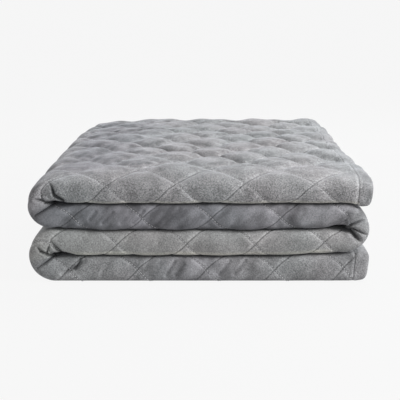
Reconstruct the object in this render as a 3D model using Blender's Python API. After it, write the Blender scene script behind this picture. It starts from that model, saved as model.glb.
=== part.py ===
"""A quilted weighted blanket. It is folded in half, front to back, and then three times
from side to side, so that it lies as a stack of four sections with eight layers.

Places on the flat cloth are given by two lengths. `along` runs from the free end of the
top section, round the three side folds, to the free end of the bottom section. `across`
is 0 on the middle of the front fold, and grows towards the back edge of one leaf and
falls towards the back edge of the other.
"""

import math

import bmesh
import bpy
import numpy as np

# ---- driving dimensions, in metres ----

DEPTH = 0.605  # front fold to back edges
SECTION_PITCH = 0.0347  # one folded section to the next
SECTION_GAP = 0.0008  # air between two sections
LEAF_GAP = 0.0010  # air between the two leaves of a section
NOSE_DEPTH = 0.0155  # how far the front fold rounds forward
NOSE_POWER = 2.4  # 2 is a round nose, more is a flatter one

FREE_ENDS = (0.2283, 0.2263)  # x of the free end of the top and of the bottom section
# Each side fold: the x that it reaches, its side, and the spare cloth crumpled inside it
SIDE_FOLDS = (
    {"x": -0.2287, "side": -1, "spare": 0.0310},
    {"x": 0.2250, "side": 1, "spare": 0.0200},
    {"x": -0.2283, "side": -1, "spare": 0.0255},
)

DIAMOND_ALONG = 0.0917  # a quilted diamond, point to point
DIAMOND_ACROSS = 0.0970
FIRST_CROSSING = 0.0762  # from the free end to the first crossing of the seams
NOSE_DRIFT = 0.0160  # how far the front fold of the top section misses the crossings

SEAM_DEPTHS = {"top": 0.0060, "side": 0.0050, "nose": 0.0022, "hidden": 0.0035}
PILLOW_POWER = 0.6  # below 1 gives full diamonds with narrow valleys

HEM = 0.0165  # free edge to its line of stitches
HEM_GROOVE = 0.0030
HEM_GROOVE_WIDTH = 0.0035
EDGE_DROP = 0.0045  # how much the free edge rounds off
END_FULLNESS = 0.0035  # a free end swells where the fold next to it leaves room

TEARDROP = 0.0050  # the hollow inside each side fold
TEARDROP_REACH = 0.0400

CROWN = 0.0120  # how much higher the middle of the stack lies than its edges
CORNER_PULL = 0.0100

SHOWN_ERROR = 0.0016  # furthest that a facet strays from the smooth cloth where it shows
HIDDEN_ERROR = 0.0024
SHOWN_SIZE = 0.036  # long edge of a facet where the quilting shows
HALVINGS = 8  # at most

SECTIONS = len(SIDE_FOLDS) + 1
HALF_PACK = (SECTION_PITCH - SECTION_GAP) / 2
STACK_HEIGHT = (SECTIONS - 1) * SECTION_PITCH + 2 * HALF_PACK
FOLD_RADIUS = SECTION_PITCH / 2
FOLD_REACH = FOLD_RADIUS + HALF_PACK


# ---- where the cloth lies ----


def smooth(t):
    """0 below 0 and 1 above 1, with an even slope between."""
    t = np.clip(t, 0.0, 1.0)
    return t * t * (3 - 2 * t)


def section_height(section):
    """Height of a section's middle, from the top one, 0, to the bottom one."""
    return STACK_HEIGHT - HALF_PACK - section * SECTION_PITCH


def route():
    """The straight and folded stages of the middle line, each from `start` to `end` along the cloth."""
    stages, along, x, heading = [], 0.0, FREE_ENDS[0], -1
    for number, fold in enumerate(SIDE_FOLDS):
        centre = fold["x"] - fold["side"] * FOLD_REACH
        length = abs(centre - x)
        stages.append({"start": along, "end": along + length, "x": x, "heading": heading, "section": number})
        along += length
        length = math.pi * FOLD_RADIUS + fold["spare"]
        stages.append({"start": along, "end": along + length, "x": centre, "side": fold["side"], "section": number})
        along += length
        x, heading = centre, -heading
    length = abs(FREE_ENDS[1] - x)
    stages.append({"start": along, "end": along + length, "x": x, "heading": heading, "section": SECTIONS - 1})
    return stages


ROUTE = route()
LENGTH = ROUTE[-1]["end"]


def middle_line(along):
    """x, z and the x and z of the upward side's normal, for each place along the cloth."""
    along = np.clip(along, 0, LENGTH)
    x, z, nx, nz = (np.zeros_like(along) for _ in range(4))
    for stage in ROUTE:
        here = (along >= stage["start"]) & (along <= stage["end"])
        gone = along[here] - stage["start"]
        height = section_height(stage["section"])
        if "side" in stage:
            angle = math.pi * gone / (stage["end"] - stage["start"])
            side = stage["side"]
            x[here] = stage["x"] + side * FOLD_RADIUS * np.sin(angle)
            z[here] = height - FOLD_RADIUS + FOLD_RADIUS * np.cos(angle)
            nx[here] = -np.sin(angle)
            nz[here] = -side * np.cos(angle)
        else:
            x[here] = stage["x"] + stage["heading"] * gone
            z[here] = height
            nz[here] = -stage["heading"]
    return x, z, nx, nz


def nose_curve(points=241):
    """Half of a section's front, from its middle to where it runs level: length, y, height."""
    angle = np.linspace(0, math.pi / 2, points)
    y = NOSE_DEPTH * (1 - np.cos(angle) ** (2 / NOSE_POWER))
    h = HALF_PACK * np.sin(angle) ** (2 / NOSE_POWER)
    length = np.concatenate([[0], np.cumsum(np.hypot(np.diff(y), np.diff(h)))])
    return length, y, h


NOSE_LENGTH, NOSE_Y, NOSE_H = nose_curve()
NOSE_ARC = float(NOSE_LENGTH[-1])
HALF_WIDTH = NOSE_ARC + DEPTH - NOSE_DEPTH


def across_profile(across):
    """y, height over the middle line, and the outward normal's y and height, round the front."""
    far = np.abs(across)
    y = np.where(far < NOSE_ARC, np.interp(far, NOSE_LENGTH, NOSE_Y), NOSE_DEPTH + far - NOSE_ARC)
    h = np.interp(far, NOSE_LENGTH, NOSE_H)
    step = 0.0006
    dy = np.interp(far + step, NOSE_LENGTH, NOSE_Y) - np.interp(far - step, NOSE_LENGTH, NOSE_Y)
    dh = np.interp(far + step, NOSE_LENGTH, NOSE_H) - np.interp(far - step, NOSE_LENGTH, NOSE_H)
    dy = np.where(far >= NOSE_ARC, 1.0, dy)
    dh = np.where(far >= NOSE_ARC, 0.0, dh)
    size = np.hypot(dy, dh) + 1e-12
    sign = np.sign(across)
    return y, sign * h, -dh / size, sign * dy / size


# ---- how deep the quilting and the hem sink into it ----


def drift(along):
    """How far the crossings of the seams lie above the front fold's middle."""
    first = ROUTE[0]["end"]
    return NOSE_DRIFT * (1 - smooth((along - 0.6 * first) / (0.6 * first)))


def pillow(along, across):
    """0 on the seams, 1 at the crown of each diamond."""
    i = (along - FIRST_CROSSING) / DIAMOND_ALONG
    j = (across - drift(along)) / DIAMOND_ACROSS
    waves = np.sin(math.pi * (i + j)) * np.sin(math.pi * (i - j))
    return np.abs(waves) ** PILLOW_POWER


def seam_depth(along, across):
    """Depth of the seams: deep where the quilt lies free, shallow where it is pressed or stretched."""
    top_end, side_end = ROUTE[1]["start"], ROUTE[1]["end"]
    top = (across > 0) * (1 - smooth((along - top_end) / 0.05))
    side = (across > 0) * smooth((along - top_end) / 0.05) * (1 - smooth((along - side_end) / 0.02))
    depth = SEAM_DEPTHS["hidden"] + top * (SEAM_DEPTHS["top"] - SEAM_DEPTHS["hidden"])
    depth = depth + side * (SEAM_DEPTHS["side"] - SEAM_DEPTHS["hidden"])
    on_nose = 1 - smooth((np.abs(across) - 0.5 * NOSE_ARC) / (0.9 * NOSE_ARC))
    return depth + on_nose * (SEAM_DEPTHS["nose"] - depth)


def on_floor(along, across):
    """Where the cloth lies flat on what the blanket stands on."""
    return (across > NOSE_ARC - 1e-6) & (along >= ROUTE[-1]["start"])


def sinking(along, across):
    """How far the outer face lies inside the full thickness of the section."""
    valley = seam_depth(along, across) * (1 - pillow(along, across))
    edge = np.minimum(np.minimum(along, LENGTH - along), HALF_WIDTH - np.abs(across))
    inside = smooth((edge - HEM) / 0.008)
    groove = HEM_GROOVE * np.exp(-(((edge - HEM) / HEM_GROOVE_WIDTH) ** 2))
    rounding = EDGE_DROP * np.clip(1 - edge / HEM, 0, 1) ** 2
    return np.where(on_floor(along, across), 0, valley * inside + groove) + rounding


def hollow(along, across):
    """How far the inner leaf draws back inside each side fold."""
    drawn = np.zeros_like(along)
    for stage in ROUTE:
        if "side" not in stage:
            continue
        inner = across * stage["side"] > 0
        away = np.maximum(np.maximum(stage["start"] - along, along - stage["end"]), 0)
        drawn += inner * TEARDROP * (1 - smooth(away / TEARDROP_REACH))
    return drawn


def fullness(along, across):
    """How far a free end swells towards the fold beside it."""
    edge = np.minimum(along, LENGTH - along)
    return END_FULLNESS * (across < 0) * (1 - smooth((edge - 0.6 * HEM) / HEM))


def settle(points):
    """Lets the stack settle: a crowned middle, a drawn-in back corner and sections that wander a little."""
    x, y, z = points[:, 0].copy(), points[:, 1].copy(), points[:, 2].copy()
    level = np.clip(z / STACK_HEIGHT, 0, 1)
    back = np.clip(y / (DEPTH + 0.015), 0, 1)
    end = np.clip(np.abs(x) / 0.235, 0, 1)
    z += CROWN * np.sin(math.pi * back**0.65) * (1 - end**4) * level**1.5
    rising = smooth((x - 0.07) / 0.14) * 2 * np.sin(math.pi * level) * (1 - level)
    z += 0.0040 * rising + 0.0025 * smooth((-x - 0.12) / 0.09) * np.sin(math.pi * level)
    left = np.clip(-x / 0.2287, 0, 1) ** 6
    x += left * (0.025 * y - 0.004 + CORNER_PULL * smooth((y - 0.50) / 0.10))
    x -= np.clip(x / 0.2287, 0, 1) ** 6 * 0.005 * smooth((y - 0.40) / 0.20)
    return np.column_stack([x, y, z])


def outer_face(along, across, quilted=True):
    """Points of the quilted face, or of its smooth envelope, for places on the flat cloth."""
    x, z, nx, nz = middle_line(along)
    y, h, ny, nh = across_profile(across)
    share = h / HALF_PACK
    h = h - share * hollow(along, across)
    if quilted:
        sunk = sinking(along, across)
        y = y - sunk * ny
        h = h - sunk * nh + share * fullness(along, across)
    points = settle(np.column_stack([x + nx * h, y, z + nz * h]))
    resting = points[:, 2] < 1e-5
    points[resting, 2] = 0.0
    return points


def inner_face(along, across):
    """Points of the plain face that the two leaves of a section turn to each other."""
    x, z, nx, nz = middle_line(along)
    h = np.sign(across) * LEAF_GAP / 2
    y = np.where(across == 0, HALF_PACK, NOSE_DEPTH + np.abs(across) - NOSE_ARC)
    return settle(np.column_stack([x + nx * h, y, z + nz * h]))


# ---- the flat cloth, in triangles that follow the seams ----


class SeamMesh:
    """Right-angled triangles between the seams, halved at their long edge where they need to be finer."""

    def __init__(self, fineness):
        self.unit = 2**fineness
        self.index, self.places = {}, []
        self.triangles, self.owner = {}, {}
        self.count = 0

    def vertex(self, i, j):
        if (i, j) not in self.index:
            self.index[i, j] = len(self.places)
            along = FIRST_CROSSING + i / self.unit * DIAMOND_ALONG / 2
            self.places.append((i, j, along, j / self.unit * DIAMOND_ACROSS / 2))
        return self.index[i, j]

    def add(self, apex, left, right):
        self.triangles[self.count] = (apex, left, right)
        for edge in ((apex, left), (left, right), (right, apex)):
            self.owner[edge] = self.count
        self.count += 1

    def split(self, number, middle):
        apex, left, right = self.triangles.pop(number)
        self.add(middle, apex, left)
        self.add(middle, right, apex)

    def halve(self, number):
        """Halves a triangle and the one across its long edge, which is brought to the same size first."""
        _, left, right = self.triangles[number]
        other = self.owner.get((right, left))
        if other is not None and self.triangles[other][1:] != (right, left):
            self.halve(other)
            other = self.owner.get((right, left))
        i = (self.places[left][0] + self.places[right][0]) // 2
        j = (self.places[left][1] + self.places[right][1]) // 2
        middle = self.vertex(i, j)
        self.split(number, middle)
        if other is not None:
            self.split(other, middle)


def drifted(place):
    """A place on the cloth, moved with the seams where the front fold misses their crossings."""
    along, across = place
    edge_share = np.clip(1 - (np.abs(across) - 0.1) / (HALF_WIDTH - 0.1), 0, 1)
    return along, across + drift(along) * np.where(across > -0.1, 1, edge_share)


def seam_mesh():
    """Covers the cloth with triangles and halves them until they lie close to the folded cloth."""
    mesh = SeamMesh(HALVINGS)
    unit = mesh.unit
    first = math.floor(-FIRST_CROSSING / (DIAMOND_ALONG / 2))
    last = math.ceil((LENGTH - FIRST_CROSSING) / (DIAMOND_ALONG / 2))
    rows = math.ceil((HALF_WIDTH + NOSE_DRIFT) / (DIAMOND_ACROSS / 2))
    for i in range(first, last):
        for j in range(-rows, rows):
            a, b = mesh.vertex(i * unit, j * unit), mesh.vertex((i + 1) * unit, j * unit)
            c, d = mesh.vertex((i + 1) * unit, (j + 1) * unit), mesh.vertex(i * unit, (j + 1) * unit)
            if (i + j) % 2:
                mesh.add(a, b, d)
                mesh.add(c, d, b)
            else:
                mesh.add(b, c, a)
                mesh.add(d, a, c)
    for _ in range(HALVINGS):
        numbers = list(mesh.triangles)
        places = np.array([p[2:] for p in mesh.places])
        corners = places[np.array([mesh.triangles[n] for n in numbers])]
        for number in np.array(numbers)[strays(corners)]:
            if number in mesh.triangles:
                mesh.halve(number)
    return mesh


def shows(along, across):
    """1 on the top leaf, the front fold and the outside of the side folds, and 0 between the layers."""
    front = 1 - smooth((np.abs(across) - NOSE_ARC) / 0.03)
    shown = np.maximum(front, (across > 0) * (along < ROUTE[0]["end"]))
    for stage in ROUTE:
        if "side" in stage:
            outside = across * stage["side"] < 0
            shown = np.maximum(shown, outside * (along > stage["start"]) * (along < stage["end"]))
    return shown


def strays(corners):
    """Which triangles, given by their corners on the flat cloth, are too large or stray too far."""

    def folded(places):
        along, across = drifted((places[:, 0], places[:, 1]))
        return outer_face(np.clip(along, 0, LENGTH), np.clip(across, -HALF_WIDTH, HALF_WIDTH), False)

    placed = [folded(corners[:, k]) for k in range(3)]
    worst = np.zeros(len(corners))
    for weights in ((0, 0.5, 0.5), (0.5, 0.5, 0), (0.5, 0, 0.5), (1 / 3, 1 / 3, 1 / 3)):
        flat = sum(w * corners[:, k] for k, w in enumerate(weights))
        chord = sum(w * placed[k] for k, w in enumerate(weights))
        worst = np.maximum(worst, np.linalg.norm(folded(flat) - chord, axis=1))
    middle = corners.mean(axis=1)
    shown = shows(middle[:, 0], middle[:, 1])
    size = np.linalg.norm(corners[:, 1] - corners[:, 2], axis=1)
    return (worst > HIDDEN_ERROR + shown * (SHOWN_ERROR - HIDDEN_ERROR)) | (size * shown > SHOWN_SIZE)


def cut(bm, along_or_across, value, clear):
    """Cuts the flat cloth along a straight line, and drops what lies beyond it if `clear` is 1 or -1."""
    normal = [0.0, 0.0, 0.0]
    normal[along_or_across] = 1.0
    place = [n * value for n in normal]
    bmesh.ops.bisect_plane(
        bm,
        geom=bm.verts[:] + bm.edges[:] + bm.faces[:],
        dist=0.0015,
        plane_co=place,
        plane_no=normal,
        clear_outer=clear == 1,
        clear_inner=clear == -1,
    )


def flat_cloth():
    """The outer face on the flat cloth, cut to size, with lines along the hem's stitches."""
    mesh = seam_mesh()
    along, across = drifted((np.array([p[2] for p in mesh.places]), np.array([p[3] for p in mesh.places])))
    bm = bmesh.new()
    vertices = [bm.verts.new((a, c, 0.0)) for a, c in zip(along, across)]
    for corners in mesh.triangles.values():
        bm.faces.new([vertices[n] for n in corners])
    for inset in (0.0, HEM):
        keep = 0 if inset else 1
        cut(bm, 0, inset, -keep)
        cut(bm, 0, LENGTH - inset, keep)
        cut(bm, 1, inset - HALF_WIDTH, -keep)
        cut(bm, 1, HALF_WIDTH - inset, keep)
    bmesh.ops.triangulate(bm, faces=bm.faces[:])
    for vertex in bm.verts:
        vertex.co.x = min(max(vertex.co.x, 0.0), LENGTH)
        vertex.co.y = min(max(vertex.co.y, -HALF_WIDTH), HALF_WIDTH)
        if vertex.is_boundary:
            snap_to_edge(vertex)
    bmesh.ops.remove_doubles(bm, verts=bm.verts[:], dist=0.0005)
    return bm


def snap_to_edge(vertex, reach=0.0016):
    """Moves a point on the cut edge exactly on to it."""
    if vertex.co.x < reach:
        vertex.co.x = 0.0
    if vertex.co.x > LENGTH - reach:
        vertex.co.x = LENGTH
    if abs(vertex.co.y) > HALF_WIDTH - reach:
        vertex.co.y = math.copysign(HALF_WIDTH, vertex.co.y)


# ---- the solid ----


def inner_lines():
    """Places along and across the cloth of the plain inner face's lines."""
    along = []
    for stage in ROUTE:
        steps = 8 if "side" in stage else 6
        along.extend(np.linspace(stage["start"], stage["end"], steps, endpoint=False))
    along.append(LENGTH)
    leaf = np.linspace(NOSE_ARC + 0.003, HALF_WIDTH, 7)
    return along, [-a for a in leaf[::-1]] + [0.0] + list(leaf)


def perimeter(along, across):
    """Distance round the cloth's edge, which puts the points of both faces' edges in one order."""
    near = 1e-5
    if across < near - HALF_WIDTH:
        return along
    if along > LENGTH - near:
        return LENGTH + across + HALF_WIDTH
    if across > HALF_WIDTH - near:
        return 2 * LENGTH + 2 * HALF_WIDTH - along
    return 2 * LENGTH + 4 * HALF_WIDTH - (across + HALF_WIDTH)


def in_order(edge):
    """The (distance, vertex) pairs of a face's edge, sorted by distance."""
    return sorted(edge, key=lambda pair: pair[0])


def close_edge(bm, outer, inner):
    """Joins the edges of both faces with a rim, given (distance, vertex) lists in order."""
    i = j = 0
    while i < len(outer) or j < len(inner):
        a, b = outer[i % len(outer)][1], inner[j % len(inner)][1]
        next_outer = outer[i + 1][0] if i + 1 < len(outer) else math.inf
        next_inner = inner[j + 1][0] if j + 1 < len(inner) else math.inf
        if i < len(outer) and (next_outer <= next_inner or j >= len(inner)):
            i += 1
            bm.faces.new((a, outer[i % len(outer)][1], b))
        else:
            j += 1
            bm.faces.new((a, inner[j % len(inner)][1], b))


def blanket_mesh():
    """One closed body: the quilted outer face, the plain inner face and the rim between them."""
    bm = flat_cloth()
    outer_points = list(bm.verts)
    flat = np.array([(v.co.x, v.co.y) for v in outer_points])
    outer_edge = in_order((perimeter(*flat[n]), v) for n, v in enumerate(outer_points) if v.is_boundary)
    for vertex, place in zip(outer_points, outer_face(flat[:, 0], flat[:, 1])):
        vertex.co = place
    lines_along, lines_across = inner_lines()
    grid = {}
    for i, along in enumerate(lines_along):
        for j, across in enumerate(lines_across):
            grid[i, j] = bm.verts.new(inner_face(np.array([along]), np.array([across]))[0])
    for i in range(len(lines_along) - 1):
        for j in range(len(lines_across) - 1):
            bm.faces.new((grid[i, j], grid[i, j + 1], grid[i + 1, j + 1], grid[i + 1, j]))
    last = (len(lines_along) - 1, len(lines_across) - 1)
    inner_edge = in_order(
        (perimeter(lines_along[i], lines_across[j]), vertex)
        for (i, j), vertex in grid.items()
        if i in (0, last[0]) or j in (0, last[1])
    )
    close_edge(bm, outer_edge, inner_edge)
    bmesh.ops.triangulate(bm, faces=bm.faces[:])
    bmesh.ops.recalc_face_normals(bm, faces=bm.faces[:])
    return bm


def centre(bm):
    """Moves the stack so that the origin lies under its middle, on the floor."""
    places = np.array([v.co for v in bm.verts])
    middle = (places.min(axis=0) + places.max(axis=0)) / 2
    bmesh.ops.translate(bm, verts=bm.verts[:], vec=(-middle[0], -middle[1], 0.0))


def plush():
    """Grey short-piled plush."""
    material = bpy.data.materials.new("grey plush")
    material.use_nodes = True
    shader = material.node_tree.nodes["Principled BSDF"]
    shader.inputs["Base Color"].default_value = (0.30, 0.31, 0.33, 1.0)
    shader.inputs["Roughness"].default_value = 0.9
    shader.inputs["Metallic"].default_value = 0.0
    shader.inputs["Sheen Weight"].default_value = 0.4
    return material


def main():
    for thing in list(bpy.data.objects):
        bpy.data.objects.remove(thing)
    bm = blanket_mesh()
    centre(bm)
    mesh = bpy.data.meshes.new("blanket")
    bm.to_mesh(mesh)
    bm.free()
    mesh.shade_smooth()
    mesh.materials.append(plush())
    blanket = bpy.data.objects.new("blanket", mesh)
    bpy.context.scene.collection.objects.link(blanket)
    print(f"{len(mesh.polygons)} triangles, {LENGTH:.3f} x {2 * HALF_WIDTH:.3f} m of cloth")


main()
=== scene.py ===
# %% [markdown]
# # A folded weighted blanket
#
# A weighted blanket is a quilt of grey plush. Its filling of fine beads is heavy, so it is sewn into
# diamonds that keep the beads in place. This one is folded in half from the back to the front, and then
# back and forth three times, so it lies as a stack of four sections with eight layers.
#
# The lesson builds it as one sheet of cloth. A function says where each spot of the flat quilt lies in
# the stack, and everything else, from the puffs to the stitches, is placed through that one function.
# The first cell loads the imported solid, which gives the size that the dressed blanket has to keep.

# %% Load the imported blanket
import math

import bmesh
import bpy
import numpy as np
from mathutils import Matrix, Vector


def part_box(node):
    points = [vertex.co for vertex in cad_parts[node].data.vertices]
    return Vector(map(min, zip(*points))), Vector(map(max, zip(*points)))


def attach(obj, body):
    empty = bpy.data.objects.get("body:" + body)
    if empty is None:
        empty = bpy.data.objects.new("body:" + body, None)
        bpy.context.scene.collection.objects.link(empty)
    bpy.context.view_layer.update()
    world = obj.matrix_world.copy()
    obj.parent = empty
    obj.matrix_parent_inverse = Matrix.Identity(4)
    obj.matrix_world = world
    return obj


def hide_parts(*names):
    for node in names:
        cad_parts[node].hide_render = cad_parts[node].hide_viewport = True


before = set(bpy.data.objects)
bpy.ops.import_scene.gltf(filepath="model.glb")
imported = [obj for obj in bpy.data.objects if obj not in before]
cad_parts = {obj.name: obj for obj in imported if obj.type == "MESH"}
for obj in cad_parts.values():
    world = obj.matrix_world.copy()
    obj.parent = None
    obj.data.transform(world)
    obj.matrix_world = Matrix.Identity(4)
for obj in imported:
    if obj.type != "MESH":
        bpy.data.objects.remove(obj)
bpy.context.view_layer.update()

solid_low, solid_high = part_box("blanket")
print("packed blanket, metres:", [round(b - a, 4) for a, b in zip(solid_low, solid_high)])

# %% [markdown]
# ## The sizes of the folded stack
#
# Real bedding is sold by its flat size, here 1.22 m by 1.83 m, but what shows is the stack: its depth,
# the height of one folded section, and where each fold reaches. Blender could fold a flat sheet with a
# cloth simulation, but a stack of eight thick layers never settles neatly. A few named sizes give the
# same shape every time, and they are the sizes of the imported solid.

# %% Name the sizes
DEPTH = 0.605  # front fold to back edges
SECTION_PITCH = 0.0347  # one folded section to the next
SECTION_GAP = 0.0008  # air between two sections
LEAF_GAP = 0.0010  # air between the two leaves of a section
FREE_ENDS = (0.2283, 0.2252)  # x of the free end of the top and of the bottom section
# each side fold: how far out it lies, on which side, how much longer its cloth is than a half circle,
# and how far the hollow inside it opens
SIDE_FOLDS = (
    {"x": -0.2287, "side": -1, "spare": 0.0310, "teardrop": 0.0022},
    {"x": 0.2250, "side": 1, "spare": 0.0200, "teardrop": 0.0036},
    {"x": -0.2283, "side": -1, "spare": 0.0255, "teardrop": 0.0022},
)
SECTIONS = len(SIDE_FOLDS) + 1
HALF_PACK = (SECTION_PITCH - SECTION_GAP) / 2  # half of a section's height
STACK_HEIGHT = (SECTIONS - 1) * SECTION_PITCH + 2 * HALF_PACK
FOLD_RADIUS = SECTION_PITCH / 2
FOLD_REACH = FOLD_RADIUS + HALF_PACK
print(f"{SECTIONS} sections, {STACK_HEIGHT * 1000:.0f} mm high before the middle crowns")

# %% [markdown]
# ## Soft steps
#
# Cloth has no sudden steps, so almost every shape below fades in or out. Three small functions do this
# for the whole lesson: an even step, the same step at a place and over a length, and a bell.


# %% Write the soft steps
def smooth(t):
    """0 below 0 and 1 above 1, with an even slope between."""
    t = np.clip(t, 0.0, 1.0)
    return t * t * (3 - 2 * t)


def rise(value, start, length):
    """Rises from 0 at the start to 1 a length further on."""
    return smooth((value - start) / length)


def bell(value, middle, width):
    """1 at the middle, and less to both sides."""
    return np.exp(-(((value - middle) / width) ** 2))


print("a step half way:", rise(0.5, 0, 1), " a bell one width away:", round(bell(1, 0, 1), 2))

# %% [markdown]
# ## The way of the cloth, from side to side
#
# Seen from the front, the blanket is one line that goes left, turns round a fold, comes back, and so on
# down the stack. A curve object could draw it, but a function is easier to bend later. `along` is the
# distance from the free end of the top section. The line has straight stages and half-turn stages.


# %% Lay out the stages
def lay_out_stages():
    """The straight and folded stages, each from `start` to `end` along the cloth."""
    stages = []

    def add(length, **facts):
        start = stages[-1]["end"] if stages else 0.0
        stages.append({"start": start, "end": start + length, **facts})

    x, heading = FREE_ENDS[0], -1
    for section, fold in enumerate(SIDE_FOLDS):
        centre = fold["x"] - fold["side"] * FOLD_REACH
        add(abs(centre - x), x=x, heading=heading, section=section)
        turn = math.pi * FOLD_RADIUS + fold["spare"]
        add(turn, x=centre, side=fold["side"], section=section, teardrop=fold["teardrop"])
        x, heading = centre, -heading
    add(abs(FREE_ENDS[1] - x), x=x, heading=heading, section=SECTIONS - 1)
    return stages


STAGES = lay_out_stages()
STRAIGHTS = [stage for stage in STAGES if "side" not in stage]
FOLDS = [stage for stage in STAGES if "side" in stage]
SECTION_ENDS = [stage[end] for stage in STRAIGHTS for end in ("start", "end")]
LENGTH = STAGES[-1]["end"]
TOP_END = STRAIGHTS[0]["end"]  # where the top section runs into the first fold
BOTTOM_START = STRAIGHTS[-1]["start"]
print(f"the cloth is {LENGTH:.3f} m long, in {len(STAGES)} stages")


# %% Follow the middle line
def section_height(section):
    """Height of a section's middle, from the top one, 0, to the bottom one."""
    return STACK_HEIGHT - HALF_PACK - section * SECTION_PITCH


def middle_line(along):
    """x, z, and the upward side's normal in x and z."""
    along = np.clip(along, 0, LENGTH)
    x, z, nx, nz = (np.zeros_like(along) for _ in range(4))
    for stage in STAGES:
        here = (along >= stage["start"]) & (along <= stage["end"])
        gone = along[here] - stage["start"]
        height = section_height(stage["section"])
        if "side" in stage:
            angle = math.pi * gone / (stage["end"] - stage["start"])
            side = stage["side"]
            x[here] = stage["x"] + side * FOLD_RADIUS * np.sin(angle)
            z[here] = height - FOLD_RADIUS + FOLD_RADIUS * np.cos(angle)
            nx[here] = -np.sin(angle)
            nz[here] = -side * np.cos(angle)
        else:
            x[here] = stage["x"] + stage["heading"] * gone
            z[here] = height
            nz[here] = -stage["heading"]
    return x, z, nx, nz


print("middles of the sections, mm high:", [round(section_height(n) * 1000) for n in range(SECTIONS)])

# %% [markdown]
# ## The rounded front
#
# The front of the stack is the first fold, in half. Each section is a flat loop there, a little squarer
# than a half circle, because the weight above presses it. A superellipse has that shape. Nothing presses
# on the top, so its shoulder is longer and gentler. `across` is the distance from the middle of this
# front fold, positive on one leaf and negative on the other.

# %% Shape the nose of a section
NOSE_DEPTH = 0.0155  # how far the front fold rounds forward
NOSE_POWER = 3.2  # 2 is a round nose, more is a flatter one
SHOULDER_DEPTH = 0.052
SHOULDER_POWER = 3.6
SHOULDER_FADE = 0.03  # over this length of the first fold, the shoulder turns into a nose
SLOPE_STEP = 0.0006  # half of the length over which a slope is measured


def nose_curve(depth, power, level_power, points=241):
    """Half of a section's front, from its middle to where it runs level: length, y, height."""
    angle = np.linspace(0, math.pi / 2, points)
    y = depth * (1 - np.cos(angle) ** (2 / level_power))
    h = HALF_PACK * np.sin(angle) ** (2 / power)
    length = np.concatenate([[0], np.cumsum(np.hypot(np.diff(y), np.diff(h)))])
    return length, y, h


NOSE = nose_curve(NOSE_DEPTH, NOSE_POWER, NOSE_POWER)
SHOULDER = nose_curve(SHOULDER_DEPTH, SHOULDER_POWER, 2)
NOSE_ARC = float(NOSE[0][-1])
HALF_WIDTH = NOSE_ARC + DEPTH - NOSE_DEPTH
print(f"the cloth is {2 * HALF_WIDTH:.3f} m wide, {NOSE_ARC * 2000:.0f} mm of it round the front")


# %% Follow the front
def follow(curve, far):
    """y, height and their slopes at a distance from the front's middle along one of the curves."""
    length, y, h = curve
    arc = length[-1]
    ahead, behind = far + SLOPE_STEP, far - SLOPE_STEP

    def slope(values):
        before = np.interp(np.abs(behind), length, values) * np.sign(behind)
        return np.interp(ahead, length, values) - before

    curved = far < arc
    level = y[-1] + (far - arc) * (DEPTH - y[-1]) / (HALF_WIDTH - arc)
    found_y = np.where(curved, np.interp(far, length, y), level)
    dy = np.where(curved, slope(y), 1.0)
    dh = np.where(curved, slope(h), 0.0)
    return found_y, np.interp(far, length, h), dy, dh


def across_profile(along, across):
    """y, height over the middle line, and the outward normal's y and height, round the front."""
    far = np.abs(across)
    free = (across > 0) * (1 - rise(along, TOP_END, SHOULDER_FADE))
    pressed, loose = follow(NOSE, far), follow(SHOULDER, far)
    y, h, dy, dh = (a + (b - a) * free for a, b in zip(pressed, loose))
    size = np.hypot(dy, dh) + 1e-12
    sign = np.sign(across)
    return y, sign * h, -dh / size, sign * dy / size


print(f"the shoulder takes {SHOULDER[0][-1] * 1000:.0f} mm of cloth")

# %% [markdown]
# ## The stack settles
#
# A pile of heavy cloth isn't a box. Its middle is plump, its folded side draws in towards the back, its
# hemmed side has a slight waist, and the sections wander up and down by a few millimetres. A lattice
# could do this to a finished mesh. Here it is part of the function, so that stitches and creases follow.

# %% Let the stack settle
CROWN = 0.0120  # how much higher the middle of the stack lies than its edges
CROWN_SPAN = (0.235, DEPTH + 0.015)  # half of the width and the depth over which it runs out
CROWN_LEAN = 0.55  # below 1, the highest place is nearer to the front
CORNER_PULL = 0.0080  # how far the folded back corner draws in
CORNER_DROOP = 0.0080  # and how far it droops
LEFT_OUT = 0.0015  # how far out the folded side starts at the front
LEFT_TAPER = 0.025  # and how far it draws in for each metre to the back
LIFTS = {"right": 0.0040, "left": 0.0025}  # how far the middle of the stack's height rises at each side
WIDEST = 0.2287
WAIST = 0.0060  # how far the hemmed side of the top draws in half way back
CORNER_SKEW = 0.0065  # how far its back corner stays short of the sections below
RIPPLE = 0.0022  # the hems on top wave a little, as sewn plush does


def sewn_wave(place, size, turn, small_size, small_turn, share):
    """Two waves along a hem that never meet in the same way, between -1 and 1."""
    both = np.sin(place / size + turn) + share * np.sin(place / small_size + small_turn)
    return both / (1 + share)


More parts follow.
